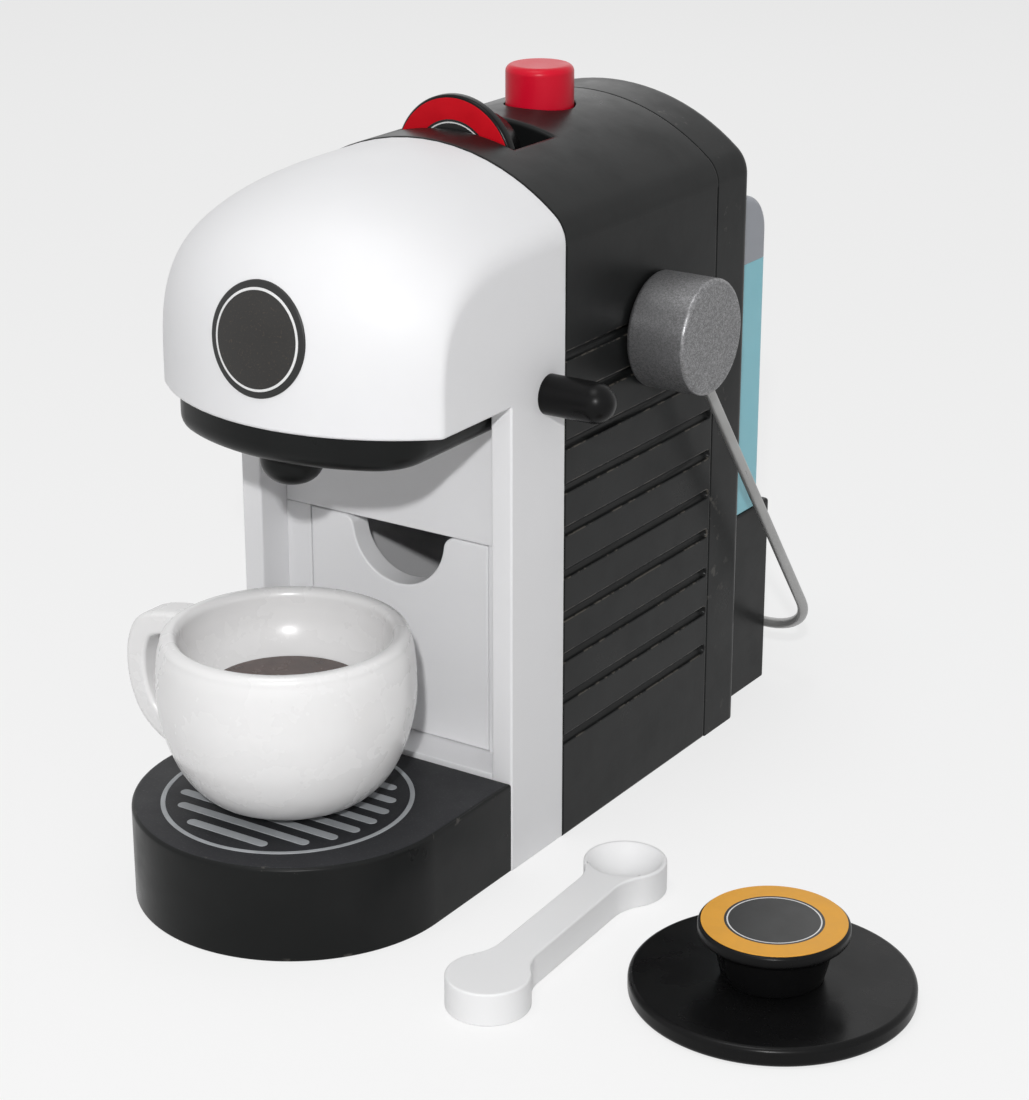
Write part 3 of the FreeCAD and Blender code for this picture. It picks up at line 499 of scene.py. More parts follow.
black_top = lacquer("black_tray_top", (0.022, 0.0225, 0.025), (0.09, 0.085, 0.08),
                    rough=(0.34, 0.5), specular=0.13, grain=(1, 0.3, 1), tint=0.15, speckle=0.35,
                    orange_peel=0.6)
red = lacquer("red_lacquer", (0.64, 0.004, 0.024), (0.36, 0.05, 0.05), rough=(0.26, 0.4), specular=0.2,
              grain=(1, 1, 0.2), tint=0.1)
blue = lacquer("blue_lacquer", (0.25, 0.59, 0.68), (0.42, 0.60, 0.64), rough=(0.3, 0.45),
               grain=(1, 1, 0.12), tint=0.05)
grey = lacquer("grey_lacquer", (0.31, 0.325, 0.36), (0.44, 0.44, 0.46), rough=(0.3, 0.45),
               grain=(1, 1, 0.12), tint=0.05)
silver = silver_lacquer("silver_lacquer")
steel = drawn_steel("drawn_steel")
wood = bare_wood("bare_wood")
ink_black = print_ink("badge_black", (0.012, 0.011, 0.010), rough=0.42, flecks=0.5,
                      fleck_colour=(0.075, 0.05, 0.032))
ink_edge = print_ink("badge_edge", (0.008, 0.008, 0.008), rough=0.35)
ink_white = print_ink("print_white", (0.72, 0.72, 0.72), mottled=0.03)
ink_silver = print_ink("print_silver", (0.33, 0.345, 0.36), mottled=0.12, rough=0.4)
ink_red = print_ink("print_red", (0.55, 0.002, 0.010), mottled=0.06, rough=0.5, specular=0.15)
ink_orange = print_ink("print_orange", (0.76, 0.37, 0.050), mottled=0.05, rough=0.45, specular=0.3)
ink_centre = print_ink("print_centre", (0.010, 0.010, 0.010), flecks=0.12,
                       fleck_colour=(0.04, 0.04, 0.04))
coffee = print_ink("coffee_brown", (0.085, 0.055, 0.047), rough=0.2, mottled=0.2)

BY_SLOT = {"white_paint": white, "black_paint": black, "bare_wood": wood, "silver_paint": silver,
           "wire_steel": steel, "spring_steel": steel, "red_paint": red, "blue_paint": blue,
           "grey_paint": grey, "badge_print": ink_black, "grille_print": ink_silver,
           "red_label": ink_red, "orange_label": ink_orange, "coffee_brown": coffee}
for part in frame["record"]["subparts"]:
    cad = frame["nodes"][part["node"]]
    cad.data.materials.clear()
    cad.data.materials.append(BY_SLOT[part["material_slot"]])


# White head and frame in one skin

def head_front(x):
    """Front of the head in plan: the CAD arc, with a soft corner where it meets the flat side."""
    centre = FRONT - HEAD_REACH + HEAD_ARC
    reach = HEAD_ARC - CORNER
    cx = HALF - CORNER
    cy = centre - math.sqrt(reach ** 2 - cx ** 2)
    tangent = cx * HEAD_ARC / reach
    if abs(x) <= tangent:
        return centre - math.sqrt(HEAD_ARC ** 2 - x ** 2)
    return cy - math.sqrt(max(CORNER ** 2 - (abs(x) - cx) ** 2, 0.0))


def dome_power(x):
    """Power of the superellipse that the head's side view follows at x."""
    return 3.3 + 0.6 * (x / HALF) ** 2


def dome_point(x, turn):
    power = dome_power(x)
    y = CASING_FRONT + (head_front(x) - CASING_FRONT) * math.cos(turn) ** (2 / power)
    return (x, y, DOME_FOOT + (arch_height(x) - DOME_FOOT) * math.sin(turn) ** (2 / power))


def head_columns():
    near = (0, 0.02, 0.08, 0.2, 0.42, 0.75, 1.2, 1.8, 2.6, 3.6, 4.9, 6.4, 8.2, 10.4, 13.0, 16.2, 20.0,
            24.5, 29.5, 35.0, 40.0)
    right = [HALF - d for d in near]
    return right + [0.0] + [-x for x in reversed(right)]


def head_outward(x, step=0.01):
    """Direction out of the head's outline at x, in plan."""
    if abs(x) >= HALF - 1e-6:
        return Vector((math.copysign(1, x), 0))
    low = max(x - step, -HALF)
    high = min(x + step, HALF)
    return Vector(((head_front(high) - head_front(low)) / (high - low), -1)).normalized()


def build_head(rows=40):
    # the eased lower edge: how far in and how far up each of its points lies
    turns = [math.pi / 2 * k / 4 for k in range(5)]
    edge = [(EASE * (1 - math.sin(turn)), EASE * (1 - math.cos(turn))) for turn in turns]
    verts = []
    grid = []
    for x in head_columns():
        out = head_outward(x)
        column = [(x - out.x * back, head_front(x) - out.y * back, BAY + up) for back, up in edge]
        column += [dome_point(x, math.pi / 2 * (k / rows)) for k in range(1, rows + 1)]
        grid += number(verts, [column])
    faces = quads(grid)
    ends = {}
    for sign, column in ((1, grid[0]), (-1, grid[-1])):
        # flat side: the eased lower edge goes on along it to the frame's front
        strip = number(verts, [[(sign * (HALF - back), FRONT, BAY + up) for back, up in edge]])[0]
        for k in range(4):
            faces.append((column[k], strip[k], strip[k + 1], column[k + 1]))
        foot = [(sign * HALF, y, BAY) for y in (FRONT, CASING_FRONT)]
        corner, back_foot = number(verts, [foot])[0]
        faces.append(tuple(strip + [corner]))
        faces.append(tuple(column[4:] + [back_foot, corner, strip[-1]]))
        ends[sign] = [strip[0], corner, back_foot]
    # underside and back
    faces.append(tuple([column[0] for column in grid] + ends[-1] + ends[1][::-1]))
    faces.append(tuple([column[-1] for column in grid] + [ends[-1][2], ends[1][2]]))
    return piece("head_shell", verts, faces, white, "machine", ("head",), "white_paint", sharp=50)


build_head()

for side, sign in (("right", 1), ("left", -1)):
    x0, x1 = sorted((sign * (HALF - LEG), sign * HALF))
    outline = rounded_rect(x0, x1, FRONT, CASING_FRONT, (0.7, 0.7, 0, 0), 4)
    slab("frame_leg_" + side, outline, eased(0, BAY, 0.5, 0), place_z, white, "machine",
         ("front_frame",), "white_paint")

board("upper_panel", (-HALF + LEG, PANEL, OPENING_TOP), (HALF - LEG, PANEL + PANEL_THICK, BAY), 0.4,
      white, "machine", ("front_panel",), "white_paint")
for side, sign in (("right", 1), ("left", -1)):
    x0, x1 = sorted((sign * OPENING, sign * (HALF - LEG)))
    board("opening_strip_" + side, (x0, PANEL, RAIL), (x1, PANEL + PANEL_THICK, OPENING_TOP), 0.25,
          white, "machine", ("panel_strip_" + side,), "white_paint")
board("lower_rail", (-HALF + LEG, FRONT, 0), (HALF - LEG, CASING_FRONT, RAIL), 0.4, white,
      "machine", ("bottom_rail",), "white_paint")


# Badge: a thin printed disc that follows the head, with one plain pale ring

BADGE_Z = 156.1
BADGE_OUT = 0.40         # thickness of the disc


def on_head(x, z, out):
    """Point on the head's front at (x, z), pushed out along -Y."""
    rise = (z - DOME_FOOT) / (arch_height(x) - DOME_FOOT)
    turn = math.asin(min(max(rise, 0.0), 1.0) ** (dome_power(x) / 2))
    return (x, dome_point(x, turn)[1] - out, z)


def badge_disc(name, rings, material, nodes=()):
    """rings: (radius, height above the head)."""
    points = [[on_head(u, BADGE_Z + v, out) for u, v in circle(radius, 96)] for radius, out in rings]
    return skin(name, points, material, "machine", nodes, "badge_print",
                ends=(False, rings[-1][0] < 0.5), sharp=60)


badge_disc("badge_rim", [(14.7, 0.0), (14.7, 0.28), (14.55, 0.38), (14.3, BADGE_OUT), (12.95, BADGE_OUT)],
           ink_edge)
badge_disc("badge_ring", [(12.95, BADGE_OUT), (12.6, BADGE_OUT + 0.01), (12.3, BADGE_OUT)], ink_white)
badge_disc("badge_field", [(radius, BADGE_OUT) for radius in (12.3, 9, 6, 3, 0.3)], ink_black,
           nodes=("head_badge",))


# Brew plate and spout

def plate_outline():
    half = 37.8
    arc_centre = FRONT - HEAD_REACH + HEAD_ARC
    setback = 0.6
    radius = HEAD_ARC - setback
    corner = 16.0
    reach = radius - corner
    cx = half - corner
    cy = arc_centre - math.sqrt(reach ** 2 - cx ** 2)
    angle = math.degrees(math.atan2(cy - arc_centre, cx))
    out = [(-half, PANEL)]
    out += [(-x, y) for x, y in arc_points(cx, cy, corner, 0, angle, 16)]
    out += arc_points(0, arc_centre, radius, -180 - angle, angle, 30)[1:-1]
    out += arc_points(cx, cy, corner, angle, 0, 16)
    out.append((half, PANEL))
    return out


slab("brew_shelf", plate_outline(), eased(PLATE_FOOT, BAY, 4.9, 0, 8), place_z, black, "machine",
     ("brew_plate",), "black_paint", sharp=60)

SPOUT_FOOT = 115.0
SPOUT_R = 8.4
SPOUT_ROUND = 6.4
lathe("spout_nozzle", [(0.2, SPOUT_FOOT), (1.8, SPOUT_FOOT)]
      + arc_points(SPOUT_R - SPOUT_ROUND, SPOUT_FOOT + SPOUT_ROUND, SPOUT_ROUND, -90, 0, 10)
      + [(SPOUT_R, PLATE_FOOT + 2)],
      (0, FRONT - 34.2, 0), "Z", black, "machine", ("spout",), "black_paint", 64)


# Drip tray with its printed grille

def tray_outline():
    half = HALF - 0.3
    turn = FRONT - 35.9
    out = [(-half, FRONT)]
    out += arc_points(0, turn, half, 180, 360, 64)
    out.append((half, FRONT))
    return out


tray = slab("tray_block", tray_outline(), eased(0, 26.7, 0.5, 1.1, 5), place_z, black, "machine",
            ("drip_tray",), "black_paint")
tray.data.materials.append(black_top)
for polygon in tray.data.polygons:
    if polygon.normal.z > 0.9 and polygon.center.z > 0.026:
        polygon.material_index = 1

GRILLE = (-1.0, FRONT - 39.3)
GRILLE_OUTER = 34.0
GRILLE_INNER = 32.7
BAR_R = 1.5              # half the width of a bar
BAR_PITCH = 6.5
BAR_MARGIN = 3.6         # between a bar's end and the ring
PRINT_FOOT, PRINT_EDGE, PRINT_FACE = 26.62, 26.78, 26.86


def print_bars(name, loops, material, nodes):
    """Thin raised print on the tray: outline loops with an eased rim."""
    verts = []
    faces = []
    for loop in loops:
        index = number(verts, [[(u, v, level) for u, v in inset_outline(loop, inset)] for inset, level
                               in ((0.0, PRINT_FOOT), (0.0, PRINT_EDGE), (0.12, PRINT_FACE))])
        faces += bridge(index) + [index[-1]]
    return piece(name, verts, faces, material, "machine", nodes, "grille_print", sharp=60)


bars = []
for i in range(9):
    dy = (i - 4) * BAR_PITCH
    reach = math.sqrt((GRILLE_INNER - BAR_MARGIN) ** 2 - dy ** 2) - BAR_R
    bars.append(arc_points(GRILLE[0] + reach, GRILLE[1] + dy, BAR_R, -90, 90, 8)
                + arc_points(GRILLE[0] - reach, GRILLE[1] + dy, BAR_R, 90, 270, 8))
print_bars("grille_bars", bars, ink_silver, ("drip_grille",))

ring = [(GRILLE_OUTER, PRINT_FOOT), (GRILLE_OUTER, PRINT_EDGE), (GRILLE_OUTER - 0.1, PRINT_FACE),
        (GRILLE_INNER + 0.1, PRINT_FACE), (GRILLE_INNER, PRINT_EDGE), (GRILLE_INNER, PRINT_FOOT)]
verts = []
index = number(verts, [[(GRILLE[0] + u, GRILLE[1] + v, level) for u, v in circle(radius, 120)]
                       for radius, level in ring])
piece("grille_ring", verts, bridge(index + [index[0]]), ink_silver, "machine", (), "grille_print", sharp=60)


# Black casing: the two grooved sides and the arched top, each a skin of its own, meeting flush

GROOVES = [140.7 - 12.33 * i for i in range(10)]
GROOVE_R = 1.4
GROOVE_LIP = 0.35        # softened width on both sides of a groove
GROOVE_END = CASING_BACK - 1.2 - GROOVE_R
EDGE_BAND = 0.5          # width of the softened edges at the casing's front and back


def groove_depth(y, z):
    """How far the side is cut in at (y, z), with the lips of each groove softened."""
    for centre in GROOVES:
        dz = abs(z - centre)
        if dz < GROOVE_R + 0.5:
            dy = max(y - GROOVE_END, 0.0)
            gap = math.hypot(dz, dy)
            if gap < GROOVE_R:
                return max(math.sqrt(GROOVE_R ** 2 - gap ** 2), 0.10) + 0.04
            if gap < GROOVE_R + GROOVE_LIP:
                return 0.14 * (1 - (gap - GROOVE_R) / GROOVE_LIP) ** 2
    return 0.0


def edge_drop(y):
    """How far the casing's skin falls back at y, near its front and back edges."""
    gap = min(abs(y - CASING_FRONT), abs(y - CASING_BACK))
    return 0.22 * (1 - gap / EDGE_BAND) ** 2 if gap < EDGE_BAND else 0.0


def casing_side(sign):
    levels = [0.0, 0.35, 0.8]
    offsets = (-1.8, -1.58, -1.4, -1.3, -1.05, -0.7, -0.35, 0.0, 0.35, 0.7, 1.05, 1.3, 1.4, 1.58, 1.8)
    for centre in sorted(GROOVES):
        levels += [centre + d for d in offsets]
    levels += [150.0, 158.0, SZ]
    depths = [CASING_FRONT, CASING_FRONT + 0.25, CASING_FRONT + 0.6, -20, 0, 20, GROOVE_END - 1]
    depths += [GROOVE_END + d for d in (0, 0.3, 0.6, 0.9, 1.1, 1.25, 1.35, 1.45, 1.6, 1.8)]
    depths += [CASING_BACK - 0.5, CASING_BACK - 0.2, CASING_BACK]
    verts = []
    grid = []
    worn = []
    for y in depths:
        row = []
        for z in levels:
            inward = groove_depth(y, z)
            if 0 < inward < 0.3:
                worn.append(len(verts))
            inward += edge_drop(y)
            if z < 0.8:
                inward += 0.4 * (1 - z / 0.8) ** 2
            row.append(len(verts))
            verts.append((sign * (CASING_HALF - inward), y, z))
        grid.append(row)
    faces = quads(grid)
    # inner face and edges close the board
    inner = number(verts, [[(sign * (CASING_HALF - 9), y, z) for y in (CASING_FRONT, CASING_BACK)
                            for z in (levels[0], levels[-1])]])[0]
    faces.append((inner[0], inner[2], inner[3], inner[1]))
    faces.append(tuple([row[0] for row in grid] + [inner[2], inner[0]]))
    faces.append(tuple([row[-1] for row in grid] + [inner[3], inner[1]]))
    faces.append(tuple(grid[0] + [inner[1], inner[0]]))
    faces.append(tuple(grid[-1] + [inner[3], inner[2]]))
    return verts, faces, worn


for side, sign in (("right", 1), ("left", -1)):
    verts, faces, worn = casing_side(sign)
    piece("casing_side_" + side, verts, faces, black_rubbed, "machine", ("side_board_" + side,),
          "black_paint", sharp=34, worn=worn)


SLOT_X = 19.5
SLOT_LONG = 18.9
SLOT_Y0 = FRONT + 39.6
SLOT_Y1 = SLOT_Y0 + SLOT_LONG
HOLE_R = 10.2            # of the button
PATCH_X = 21.6           # half width of the finer grid round the slot and the hole
CASING_FOOT = 158.0      # underside of the top block


def top_z(x):
    return arch_height(x, GAP)


def loop_points(x0, x1, y0, y1, xs, ys):
    """Anticlockwise points of a rectangle from shared grid lines."""
    bottom = [(x, y0) for x in xs]
    right = [(x1, y) for y in ys[1:]]
    top = [(x, y1) for x in reversed(xs[:-1])]
    left = [(x0, y) for y in reversed(ys[1:-1])]
    return bottom + right + top + left


def casing_top():
    verts = []
    lookup = {}

    def vert(x, y):
        key = (round(x, 4), round(y, 4))
        if key not in lookup:
            lookup[key] = len(verts)
            verts.append((x, y, top_z(x) - edge_drop(y)))
        return lookup[key]

    def line_opening(outer, rings):
        """Faces from a loop of grid points down through rings of (x, y, drop) inside it."""
        index = number(verts, [[(x, y, top_z(x) - drop) for x, y, drop in ring] for ring in rings])
        return bridge([[vert(x, y) for x, y in outer]] + index)

    patch_x = [-PATCH_X + 2 * PATCH_X * i / 24 for i in range(25)]
    hole_xs = [x for x in patch_x if abs(x) < 12.7]
    slot_ys = [SLOT_Y0 - 1.6 + (SLOT_LONG + 3.2) * i / 10 for i in range(11)]
    hole_ys = [BUTTON_Y - 12.6 + 25.2 * i / 12 for i in range(13)]
    ys = [CASING_FRONT, CASING_FRONT + 0.25, CASING_FRONT + 0.6, -34] + slot_ys + hole_ys \
        + [34, CASING_BACK - 0.5, CASING_BACK - 0.2, CASING_BACK]
    # columns outside the patch, close together on the shoulders
    near = (0, 0.03, 0.12, 0.3, 0.6, 1.0, 1.6, 2.4, 3.4, 4.6, 6.0, 7.8, 10.0, 13.0, 16.5, 20.5)
    sides = [CASING_HALF - d for d in near]
    xs = [-x for x in sides] + patch_x + list(reversed(sides))
    slot_rect = (patch_x[0], patch_x[-1], slot_ys[0], slot_ys[-1])
    hole_rect = (hole_xs[0], hole_xs[-1], hole_ys[0], hole_ys[-1])
    faces = []
    for i in range(len(xs) - 1):
        for j in range(len(ys) - 1):
            mx = (xs[i] + xs[i + 1]) / 2
            my = (ys[j] + ys[j + 1]) / 2
            if any(r[0] < mx < r[1] and r[2] < my < r[3] for r in (slot_rect, hole_rect)):
                continue
            faces.append((vert(xs[i], ys[j]), vert(xs[i + 1], ys[j]),
                          vert(xs[i + 1], ys[j + 1]), vert(xs[i], ys[j + 1])))

    def squeeze(point, grow, drop):
        x, y = point
        cy = (SLOT_Y0 + SLOT_Y1) / 2
        sx = (SLOT_X + grow) / PATCH_X
        sy = ((SLOT_Y1 - SLOT_Y0) / 2 + grow) / ((slot_ys[-1] - slot_ys[0]) / 2)
        return (x * sx, cy + (y - cy) * sy, drop)

    def round_off(point, radius, drop):
        angle = math.atan2(point[1] - BUTTON_Y, point[0])
        return (radius * math.cos(angle), BUTTON_Y + radius * math.sin(angle), drop)

    # capsule slot with a rolled-over rim
    outer = loop_points(*slot_rect, patch_x, slot_ys)
    rims = ((1.3, 0.02), (0.8, 0.12), (0.4, 0.35), (0.12, 0.75), (0.0, 1.3), (0.0, 15.0))
    faces += line_opening(outer, [[squeeze(p, grow, drop) for p in outer] for grow, drop in rims])
    # button's hole
    outer = loop_points(*hole_rect, hole_xs, hole_ys)
    rims = ((11.4, 0.0), (10.7, 0.0), (10.45, 0.05), (10.25, 0.2), (HOLE_R, 0.5), (HOLE_R, 12.0))
    faces += line_opening(outer, [[round_off(p, radius, drop) for p in outer] for radius, drop in rims])
    # closed at both ends, open below
    for y in (CASING_FRONT, CASING_BACK):
        ring = [vert(x, y) for x in xs]
        faces.append(tuple(ring + number(verts, [[(xs[-1], y, CASING_FOOT), (xs[0], y, CASING_FOOT)]])[0]))
    return verts, faces


verts, faces = casing_top()
piece("casing_top", verts, faces, black, "machine", ("top_block",), "black_paint", sharp=40)


# Wall at the back of the capsule slot, so that it looks like bored wood

board("slot_wall_back", (-SLOT_X, SLOT_Y1, CASING_FOOT), (SLOT_X, SLOT_Y1 + 0.6, 186), 0.1, black,
      "machine", (), "black_paint")


# Arched back of the casing

# a recess for the capsule gate, then the seam's groove and its rubbed lip
SEAM = [(9.0, CASING_BACK + 8, 0.0), (9.0, CASING_BACK, 0.0), (0.55, CASING_BACK, 0.0),
        (0.16, CASING_BACK + 0.2, 1.0), (0.0, CASING_BACK + 0.6, 1.0)]
slab("casing_back", arch_outline(0, GAP), SEAM + eased(CASING_BACK + 1, REAR_BACK, 0, 3.5, 8)[1:],
     along_y, black, "machine", ("rear_panel",), "black_paint", sharp=45)


# Stop pegs

PEG_R = 5.5
PEG_LONG = 14.3          # straight part, before the round end
peg = [(PEG_R, 0.0), (PEG_R, 10.0), (PEG_R, PEG_LONG)]
peg += arc_points(0, PEG_LONG, PEG_R, 9, 81, 8) + [(0.15, PEG_LONG + PEG_R)]
for side, sign in (("right", 1), ("left", -1)):
    lathe("peg_" + side, [(radius, sign * height) for radius, height in peg],
          (sign * HALF, FRONT + 17.9, 132.5), "X", black_gloss, "machine", ("stop_peg_" + side,),
          "black_paint", 64)


# Knobs of the lever

KNOB_R = 16.3
KNOB_LONG = 18.5
RIM = 1.5
knob = [(5.2, 0.0), (KNOB_R - RIM, 0.0)] + arc_points(KNOB_R - RIM, RIM, RIM, -75, 0, 5)
knob += [(KNOB_R, 6.0), (KNOB_R, 12.0)] + arc_points(KNOB_R - RIM, KNOB_LONG - RIM, RIM, 0, 90, 6)
knob += [(12.0, KNOB_LONG - 0.05), (6.0, KNOB_LONG), (0.2, KNOB_LONG)]
for side, sign in (("right", 1), ("left", -1)):
    lathe("knob_turned_" + side, [(radius, sign * height) for radius, height in knob],
          (sign * (CASING_HALF + GAP), AXLE_Y, AXLE_Z), "X", silver, "lever", ("knob_" + side,),
          "silver_paint", 128, sharp=50)


# Bent wire

WIRE_R = 1.65
TANK_BASE_DEPTH = 32.7
CROSSBAR_Z = 17.5
WIRE_BEND = 18.0


def wire_path():
    """Points and headings of the wire from the right knob round to the left one."""
    pivot = Vector((0, AXLE_Y, AXLE_Z))
    crossbar = Vector((0, REAR_BACK + TANK_BASE_DEPTH + GAP + WIRE_R, CROSSBAR_Z)) - pivot
    out = crossbar.normalized()
    x = CASING_HALF + GAP + KNOB_LONG - 9.6
    reach = crossbar.length
    points = [(Vector((x, 0, 0)) + out * along, out) for along in (8, 16, 40, 70, 100)]
    for i in range(13):
        a = math.pi / 2 * i / 12
        side = x - WIRE_BEND * (1 - math.cos(a))
        along = reach - WIRE_BEND + WIRE_BEND * math.sin(a)
        points.append((Vector((side, 0, 0)) + out * along,
                       out * math.cos(a) - Vector((1, 0, 0)) * math.sin(a)))
    points.append((Vector((12, 0, 0)) + out * reach, Vector((-1, 0, 0))))
    mirrored = [(Vector((-point.x, point.y, point.z)), Vector((heading.x, -heading.y, -heading.z)))
                for point, heading in reversed(points)]
    return [(pivot + p, h) for p, h in points + mirrored], out


def bail():
    path, out = wire_path()
    flat = Vector((1, 0, 0)).cross(out).normalized()
    rings = []
    for point, heading in path:
        across = flat.cross(heading).normalized()
        rings.append([tuple(point + (flat * u + across * v) * WIRE_R) for u, v in circle(1, 24)])
    return skin("bail_bent_wire", rings, steel, "lever", ("bail_wire",), "wire_steel")


bail()


# Button

CAP_R = 9.7
CAP_TOP = 204.5
CAP_ROUND = 2.1
lathe("button_turned", [(3.2, 173.0), (3.2, 178.0), (12.0, 178.0), (12.0, 181.0), (CAP_R, 181.0),
                        (CAP_R, 196.0), (CAP_R, 202.4)]
      + arc_points(CAP_R - CAP_ROUND, CAP_TOP - CAP_ROUND, CAP_ROUND, 12, 90, 7)
      + [(4.0, CAP_TOP), (0.2, CAP_TOP)],
      (0, BUTTON_Y, 0), "Z", red, "button", ("button_cap",), "red_paint", 96)


# Bin front with its half-round notch

def bin_front_outline():
    half = OPENING - 0.3
    foot = RAIL + 0.3
    top = OPENING_TOP - 0.3
    r = 15.3
    s = 3.6
    cz = 71.6 + r
    # shoulder arcs join the notch to the top edge
    sx = math.sqrt((r + s) ** 2 - (top - s - cz) ** 2)
    sz = top - s
    meet = math.degrees(math.atan2(sz - cz, sx))
    out = [(-half, foot), (half, foot), (half, top)]
    out += arc_points(sx, sz, s, 90, 180 + meet, 8)
    out += arc_points(0, cz, r, meet, -180 - meet, 32)[1:-1]
    out += [(-x, z) for x, z in reversed(arc_points(sx, sz, s, 90, 180 + meet, 8))]
    out.append((-half, top))
    return out


slab("bin_face", bin_front_outline(), eased(PANEL, PANEL + 7.2, 0.5, 0.4, 3), along_y, white, "bin",
     ("bin_front",), "white_paint")


# Tank, its lid and its base

TANK_HALF = 37.8
TANK_DEPTH = 24.7
BASE_TOP = 60.3
TANK_TOP = 139.9
LID_HIGH = 20.3


def tank_outline(depth, r):
    return rounded_rect(-TANK_HALF, TANK_HALF, REAR_BACK, REAR_BACK + depth, (1.2, 1.2, r, r), 6)


slab("tank_foot", tank_outline(TANK_BASE_DEPTH, 1.5), eased(0, BASE_TOP, 0.4, 0.9), place_z, black,
     "machine", ("tank_base",), "black_paint")
slab("tank_body", [(x, max(y, REAR_BACK + GAP)) for x, y in tank_outline(TANK_DEPTH, 2.0)],
     eased(BASE_TOP + GAP, TANK_TOP, 0.5, 0.15), place_z, blue, "tank", ("water_tank",), "blue_paint")


def lid():
    """Seen from the side: a broad round at the back. The ends are eased, the foot stays full."""
    rings = []
    for inset, level, _ in eased(-TANK_HALF, TANK_HALF, 2.0, 2.0, 6):
        outline = rounded_rect(REAR_BACK + GAP, REAR_BACK + TANK_DEPTH - inset, TANK_TOP,
                               TANK_TOP + LID_HIGH - inset, (0.2, 0.2, 12.0 - inset, 0.8), 12)
        rings.append([along_x(u, v, level) for u, v in outline])
    return skin("tank_lid_cap", rings, grey, "tank", ("tank_lid",), "grey_paint", sharp=50)


lid()


# Cup: thick lip, round belly and a bent handle

def spline(points, steps):
    """Points on a curve through the given ones (Catmull-Rom), steps per span."""
    out = []
    pts = [Vector(p) for p in points]
    pts = [pts[0] * 2 - pts[1]] + pts + [pts[-1] * 2 - pts[-2]]
    for i in range(1, len(pts) - 2):
        a, b, c, d = pts[i - 1:i + 3]
        for k in range(steps):
            t = k / steps
            out.append(0.5 * ((2 * b) + (c - a) * t + (2 * a - 5 * b + 4 * c - d) * t * t
                              + (3 * b - a - 3 * c + d) * t ** 3))
    out.append(pts[-2])
    return out


COFFEE_FOOT = 31.0
cup_side = spline([(14.0, 0.6), (22.2, 3.45), (28.3, 9.8), (32.2, 18.6), (34.2, 27.5), (34.4, 35.0),
                   (33.9, 42.0), (33.0, 45.65)], 5)
cup_profile = [(0.3, 0.0), (10.0, 0.0), (12.8, 0.1)] + [tuple(p) for p in cup_side]
cup_profile += arc_points(30.65, 45.65, 2.35, 8, 172, 12) + [(28.3, 45.4)]
cup_profile += [tuple(p) for p in spline([(28.2, 43.5), (26.9, 38.3), (24.6, 34.2),
                                          (21.6, COFFEE_FOOT)], 4)]
cup_profile += [(18.0, COFFEE_FOOT), (0.3, COFFEE_FOOT)]
lathe("cup_turned", cup_profile, tuple(CUP), "Z", white_gloss, "cup", ("cup",), "white_paint", 128,
      sharp=60)


def cup_handle():
    """A flat strap bent out from the lip and back to the belly."""
    line = spline([(-31.0, 46.9), (-37.5, 46.2), (-43.5, 44.7), (-48.2, 41.8), (-51.0, 36.6), (-52.0, 30.0),
                   (-51.3, 22.4), (-48.4, 15.0), (-43.4, 9.9), (-37.5, 7.0), (-31.0, 5.7), (-24.0, 5.4)], 4)
    half = 4.8
    thick = 6.6
    section = rounded_rect(-half, half, 0, thick, (1.6, 1.6, 1.2, 1.2), 4)
    rings = []
    for i, point in enumerate(line):
        heading = (line[min(i + 1, len(line) - 1)] - line[max(i - 1, 0)]).normalized()
        inward = Vector((-heading.y, heading.x))
        places = [(point + inward * depth, across) for across, depth in section]
        rings.append([(CUP.x + p.x, CUP.y + across, CUP.z + p.y) for p, across in places])
    return skin("cup_handle", rings, white_gloss, "cup", (), "white_paint", sharp=60)


cup_handle()
lathe("coffee_surface", [(21.5, COFFEE_FOOT), (21.5, 31.3), (21.3, 31.45), (12.0, 31.4), (0.3, 31.35)],
      tuple(CUP), "Z", coffee, "cup", ("coffee_disc",), "coffee_brown", 96)


# Saucer

SAUCER = (135.7, FRONT - 18.9, 0.0)
SAUCER_R = 36.4
SAUCER_TOP = 5.2
FOOT_ROUND = 1.6
TOP_ROUND = 1.5
saucer_profile = [(0.3, 0.0)] + arc_points(SAUCER_R - FOOT_ROUND, FOOT_ROUND, FOOT_ROUND, -90, 0, 6) \
    + arc_points(SAUCER_R - TOP_ROUND, SAUCER_TOP - TOP_ROUND, TOP_ROUND, 0, 90, 6) \
    + [(30.0, 5.16), (20.0, SAUCER_TOP), (0.3, SAUCER_TOP)]
lathe("saucer_turned", saucer_profile, SAUCER, "Z", black_gloss, "saucer", ("saucer",), "black_paint",
      144, sharp=60)


# Capsules with plain printed rings

FACE = 14.9              # height of the capsule's rim
LABEL = FACE + 0.2       # and of the label on it


